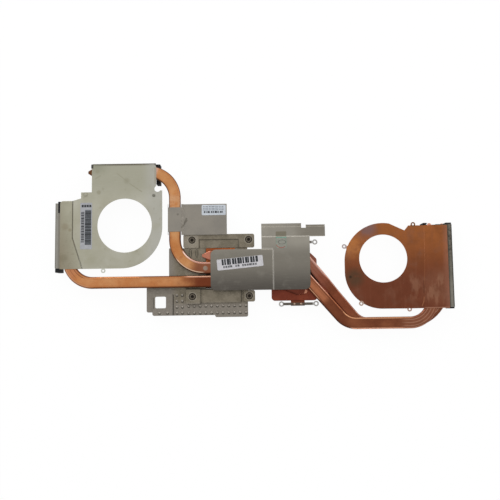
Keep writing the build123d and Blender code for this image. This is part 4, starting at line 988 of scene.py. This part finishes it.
# Foam at the stacks' ends and thermal pads below the plates
soft_block(
    "left_rear_foam_finish", "left_rear_foam",
    [((-81.0, 52.7, 0), (-77.6, 70.0, 8.4)), ((-135.1, 66.4, 0), (-133.7, 70.0, 11.4))],
    foam_black, edge=0.4, cell=1.2, wave=0.18,
)
soft_block(
    "left_side_foam_finish", "left_side_foam",
    [((-162.0, 37.3, 0), (-153.2, 38.7, 11.8)), ((-162.0, 29.3, 11.8), (-160.35, 38.7, 12.3)),
     ((-164.2, -20.3, 0), (-160.0, -16.9, 11.4))],
    foam_black, edge=0.4, cell=1.2, wave=0.12,
)
soft_block(
    "right_foam_finish", "right_foam",
    [((140.6, 15.6, 0), (144.0, 17.0, 10.6)), ((159.4, 15.6, 0), (164.2, 17.0, 10.6)),
     ((159.6, -54.2, 0), (164.2, -52.8, 10.6))],
    foam_black, edge=0.4, cell=1.2, wave=0.12,
)


PAD_THICK = 1.0


def pads(name, node, middles, size, top):
    """Pads of one size below a plate, each given by its middle."""
    half_x, half_y = size[0] / 2, size[1] / 2
    low = top - PAD_THICK
    boxes = [((x - half_x, y - half_y, low), (x + half_x, y + half_y, top)) for x, y in middles]
    soft_block(name, node, boxes, pad_blue, edge=0.25, cell=2.2, wave=0.06)


pads(
    "memory_pads_finish", "memory_pads",
    [(-35.45, -41.4), (-19.95, -41.4), (-55.1, -25.85), (-55.1, -10.35)], size=(13, 11), top=6.4,
)
pads("regulator_pads_finish", "regulator_pads", [(-46.2, 22.4), (-32.2, 22.4)], size=(11, 20), top=9.9)
pads("choke_pad_finish", "choke_pad", [(30.6, 11.3)], size=(24, 5), top=10.2)

# Plain bars in place of the labels' print
LEFT_LABEL = (-138.5, 18.0)
CENTRE_LABEL = (-11.5, -14.3)
CENTRE_TILT = 5.4
REGULATOR_LABEL = (-32.9, 30.2)
INK = 0.02
WIDEST_BAR = 0.92
BAR_SHARES = (0.62, 0.5, 0.82, 0.42, 0.7, 0.56, 0.9)


def bars(start, end, pitch, low, high, upright=True, weight=1.0):
    """A row of bars of mixed widths, across a row or down a column."""
    count = int((end - start) / pitch)
    shares = [min(WIDEST_BAR, weight * BAR_SHARES[i % len(BAR_SHARES)]) for i in range(count)]
    spans = [(start + i * pitch, share * pitch) for i, share in enumerate(shares)]
    if upright:
        return [(at, low, at + width, high) for at, width in spans]
    return [(low, at, high, at + width) for at, width in spans]


ink = bmesh.new()
slabs(ink, bars(-15.6, 13.4, 1.25, -1.0, 4.2, upright=False), COVER_LABEL_TOP, INK, LEFT_LABEL)
slabs(ink, [(x, 15.6, x + 1.7, 17.7) for x in (-3.8, -1.7, 0.4, 2.5)], COVER_LABEL_TOP, INK, LEFT_LABEL)
slabs(ink, bars(-13.6, 12.6, 0.95, -4.2, -1.6, upright=False), COVER_LABEL_TOP, INK, LEFT_LABEL)
centre_bars = bars(-15.0, 15.2, 2.15, -0.6, 4.3, weight=1.2)
for start, end in ((-14.0, -5.6), (-4.0, 0.2), (1.6, 14.6)):
    centre_bars += bars(start, end, 0.95, -3.0, -1.3)
slabs(ink, centre_bars, COVER_LABEL_TOP, INK, CENTRE_LABEL, CENTRE_TILT)
slabs(ink, bars(-8.2, 8.4, 1.5, -2.6, -0.9), REGULATOR_LABEL_TOP, INK, REGULATOR_LABEL)
piece(ink, "label_bars", label_ink)

faint = bmesh.new()
slabs(faint, [(-1.0, -15.6, 4.2, 13.4)], COVER_LABEL_TOP, INK / 2, LEFT_LABEL)
for low, high in ((2.6, 3.2), (1.2, 1.8), (-0.2, 0.4)):
    slabs(faint, bars(-8.6, 8.6, 1.2, low, high), REGULATOR_LABEL_TOP, INK, REGULATOR_LABEL)
piece(faint, "label_faint_bars", grey_ink)

# Coloured print on the seal
green = bmesh.new()
slabs(green, [(18.4, 6.0, 27.0, 6.7)], SEAL_TOP, INK)
piece(green, "seal_green_band", seal_green)
ARC_MIDDLE = (22.8, 0.9)
ARC_RADII = (4.2, 3.0)
ARC_ANGLES = range(200, 313, 14)
red = bmesh.new()
for angle in ARC_ANGLES:
    swing = math.radians(angle)
    x = ARC_MIDDLE[0] + ARC_RADII[0] * math.cos(swing)
    y = ARC_MIDDLE[1] + ARC_RADII[1] * math.sin(swing)
    slabs(red, [(-0.5, -0.3, 0.5, 0.3)], SEAL_TOP, INK, (x, y), angle + 90)
piece(red, "seal_red_arc", seal_red)
oval = bmesh.new()
flat_ring(oval, 23.4, 2.5, SEAL_TOP, inner=2.9, outer=3.4, thick=INK, stretch=0.55)
piece(oval, "seal_dark_oval", seal_dark)

# White paper floor, which glows so that it looks white in the picture, but lights the part as grey paper
FLOOR_HALF = 6.0
FLOOR_Z = -0.0002
FLOOR_GLOW = 1.04
FLOOR_GLOW_SHARE = 0.92
floor_mesh = bpy.data.meshes.new("floor")
floor_bm = bmesh.new()
bmesh.ops.create_grid(floor_bm, x_segments=1, y_segments=1, size=FLOOR_HALF)
bmesh.ops.translate(floor_bm, vec=(0, 0, FLOOR_Z), verts=floor_bm.verts)
floor_bm.to_mesh(floor_mesh)
floor_bm.free()
floor = bpy.data.objects.new("floor", floor_mesh)
bpy.context.scene.collection.objects.link(floor)
paper = bpy.data.materials.new("white_paper_floor")
paper.use_nodes = True
tree = paper.node_tree
tree.nodes.remove(tree.nodes["Principled BSDF"])
rays = add(tree, "ShaderNodeLightPath").outputs
seen = rays["Is Camera Ray"]
for ray in ("Is Glossy Ray", "Is Transmission Ray"):
    seen = add(tree, "ShaderNodeMath", {0: seen, 1: rays[ray]}, operation="MAXIMUM").outputs[0]
matt = add(tree, "ShaderNodeBsdfDiffuse", {"Color": colour("#C4C4C4")}).outputs[0]
glow = add(tree, "ShaderNodeEmission", {"Color": (1, 1, 1, 1), "Strength": FLOOR_GLOW}).outputs[0]
share = add(tree, "ShaderNodeMath", {0: seen, 1: FLOOR_GLOW_SHARE}, operation="MULTIPLY").outputs[0]
shown = add(tree, "ShaderNodeMixShader", {0: share, 1: matt, 2: glow}).outputs[0]
tree.links.new(shown, tree.nodes["Material Output"].inputs[0])
floor_mesh.materials.append(paper)

# Soft studio surroundings: dimmer overhead, bright low down to the rear and right, dark low in front
world = bpy.data.worlds.new("studio")
bpy.context.scene.world = world
world.use_nodes = True
tree = world.node_tree
way = add(tree, "ShaderNodeTexCoord").outputs["Generated"]


def leaning(heading):
    """How far the direction of the light leans towards a heading."""
    return add(tree, "ShaderNodeVectorMath", {0: way, 1: heading}, operation="DOT_PRODUCT").outputs["Value"]


overhead = soft_range(tree, leaning((-0.55, 1.0, 0)), -0.3, 0.4, 0.55, 1.0)
horizon = soft_range(tree, leaning((0.6, 0.8, 0)), -0.4, 0.9, 0.35, 2.4)
rise = soft_range(tree, leaning(UP), 0.1, 0.5)
level = add(tree, "ShaderNodeMix", {0: rise, 2: horizon, 3: overhead}).outputs[0]
back = tree.nodes["Background"]
back.inputs["Color"].default_value = (1, 1, 1, 1)
tree.links.new(level, back.inputs["Strength"])


def soft_light(name, place, width, height, power):
    """A soft box that faces the object."""
    lamp = bpy.data.lights.new(name, "AREA")
    lamp.shape = "RECTANGLE"
    lamp.size = width
    lamp.size_y = height
    lamp.energy = power
    box = bpy.data.objects.new(name, lamp)
    box.location = place
    box.rotation_euler = Vector(place).to_track_quat("Z", "Y").to_euler()
    bpy.context.scene.collection.objects.link(box)


soft_light("key_light", (-0.9, 1.1, 0.8), width=0.7, height=0.7, power=7)
soft_light("fill_light", (1.1, 0.5, 0.9), width=0.7, height=0.7, power=3)
soft_light("front_light", (0.11, -0.6, 0.05), width=0.2, height=0.06, power=0.35)

# Camera, almost straight above
SENSOR = 36
FOCAL_LENGTH = 46.08
CAMERA_PLACE = (-0.00316, -0.05078, 0.538)
CAMERA_TILT = 5.1
CAMERA_ROLL = -0.8
lens = bpy.data.cameras.new("camera")
lens.sensor_width = SENSOR
lens.lens = FOCAL_LENGTH
camera = bpy.data.objects.new("camera", lens)
camera.matrix_world = (
    Matrix.Translation(CAMERA_PLACE)
    @ Matrix.Rotation(math.radians(CAMERA_TILT), 4, "X")
    @ Matrix.Rotation(math.radians(CAMERA_ROLL), 4, "Z")
)
bpy.context.scene.collection.objects.link(camera)
bpy.context.scene.camera = camera
bpy.context.scene.view_settings.view_transform = "Standard"
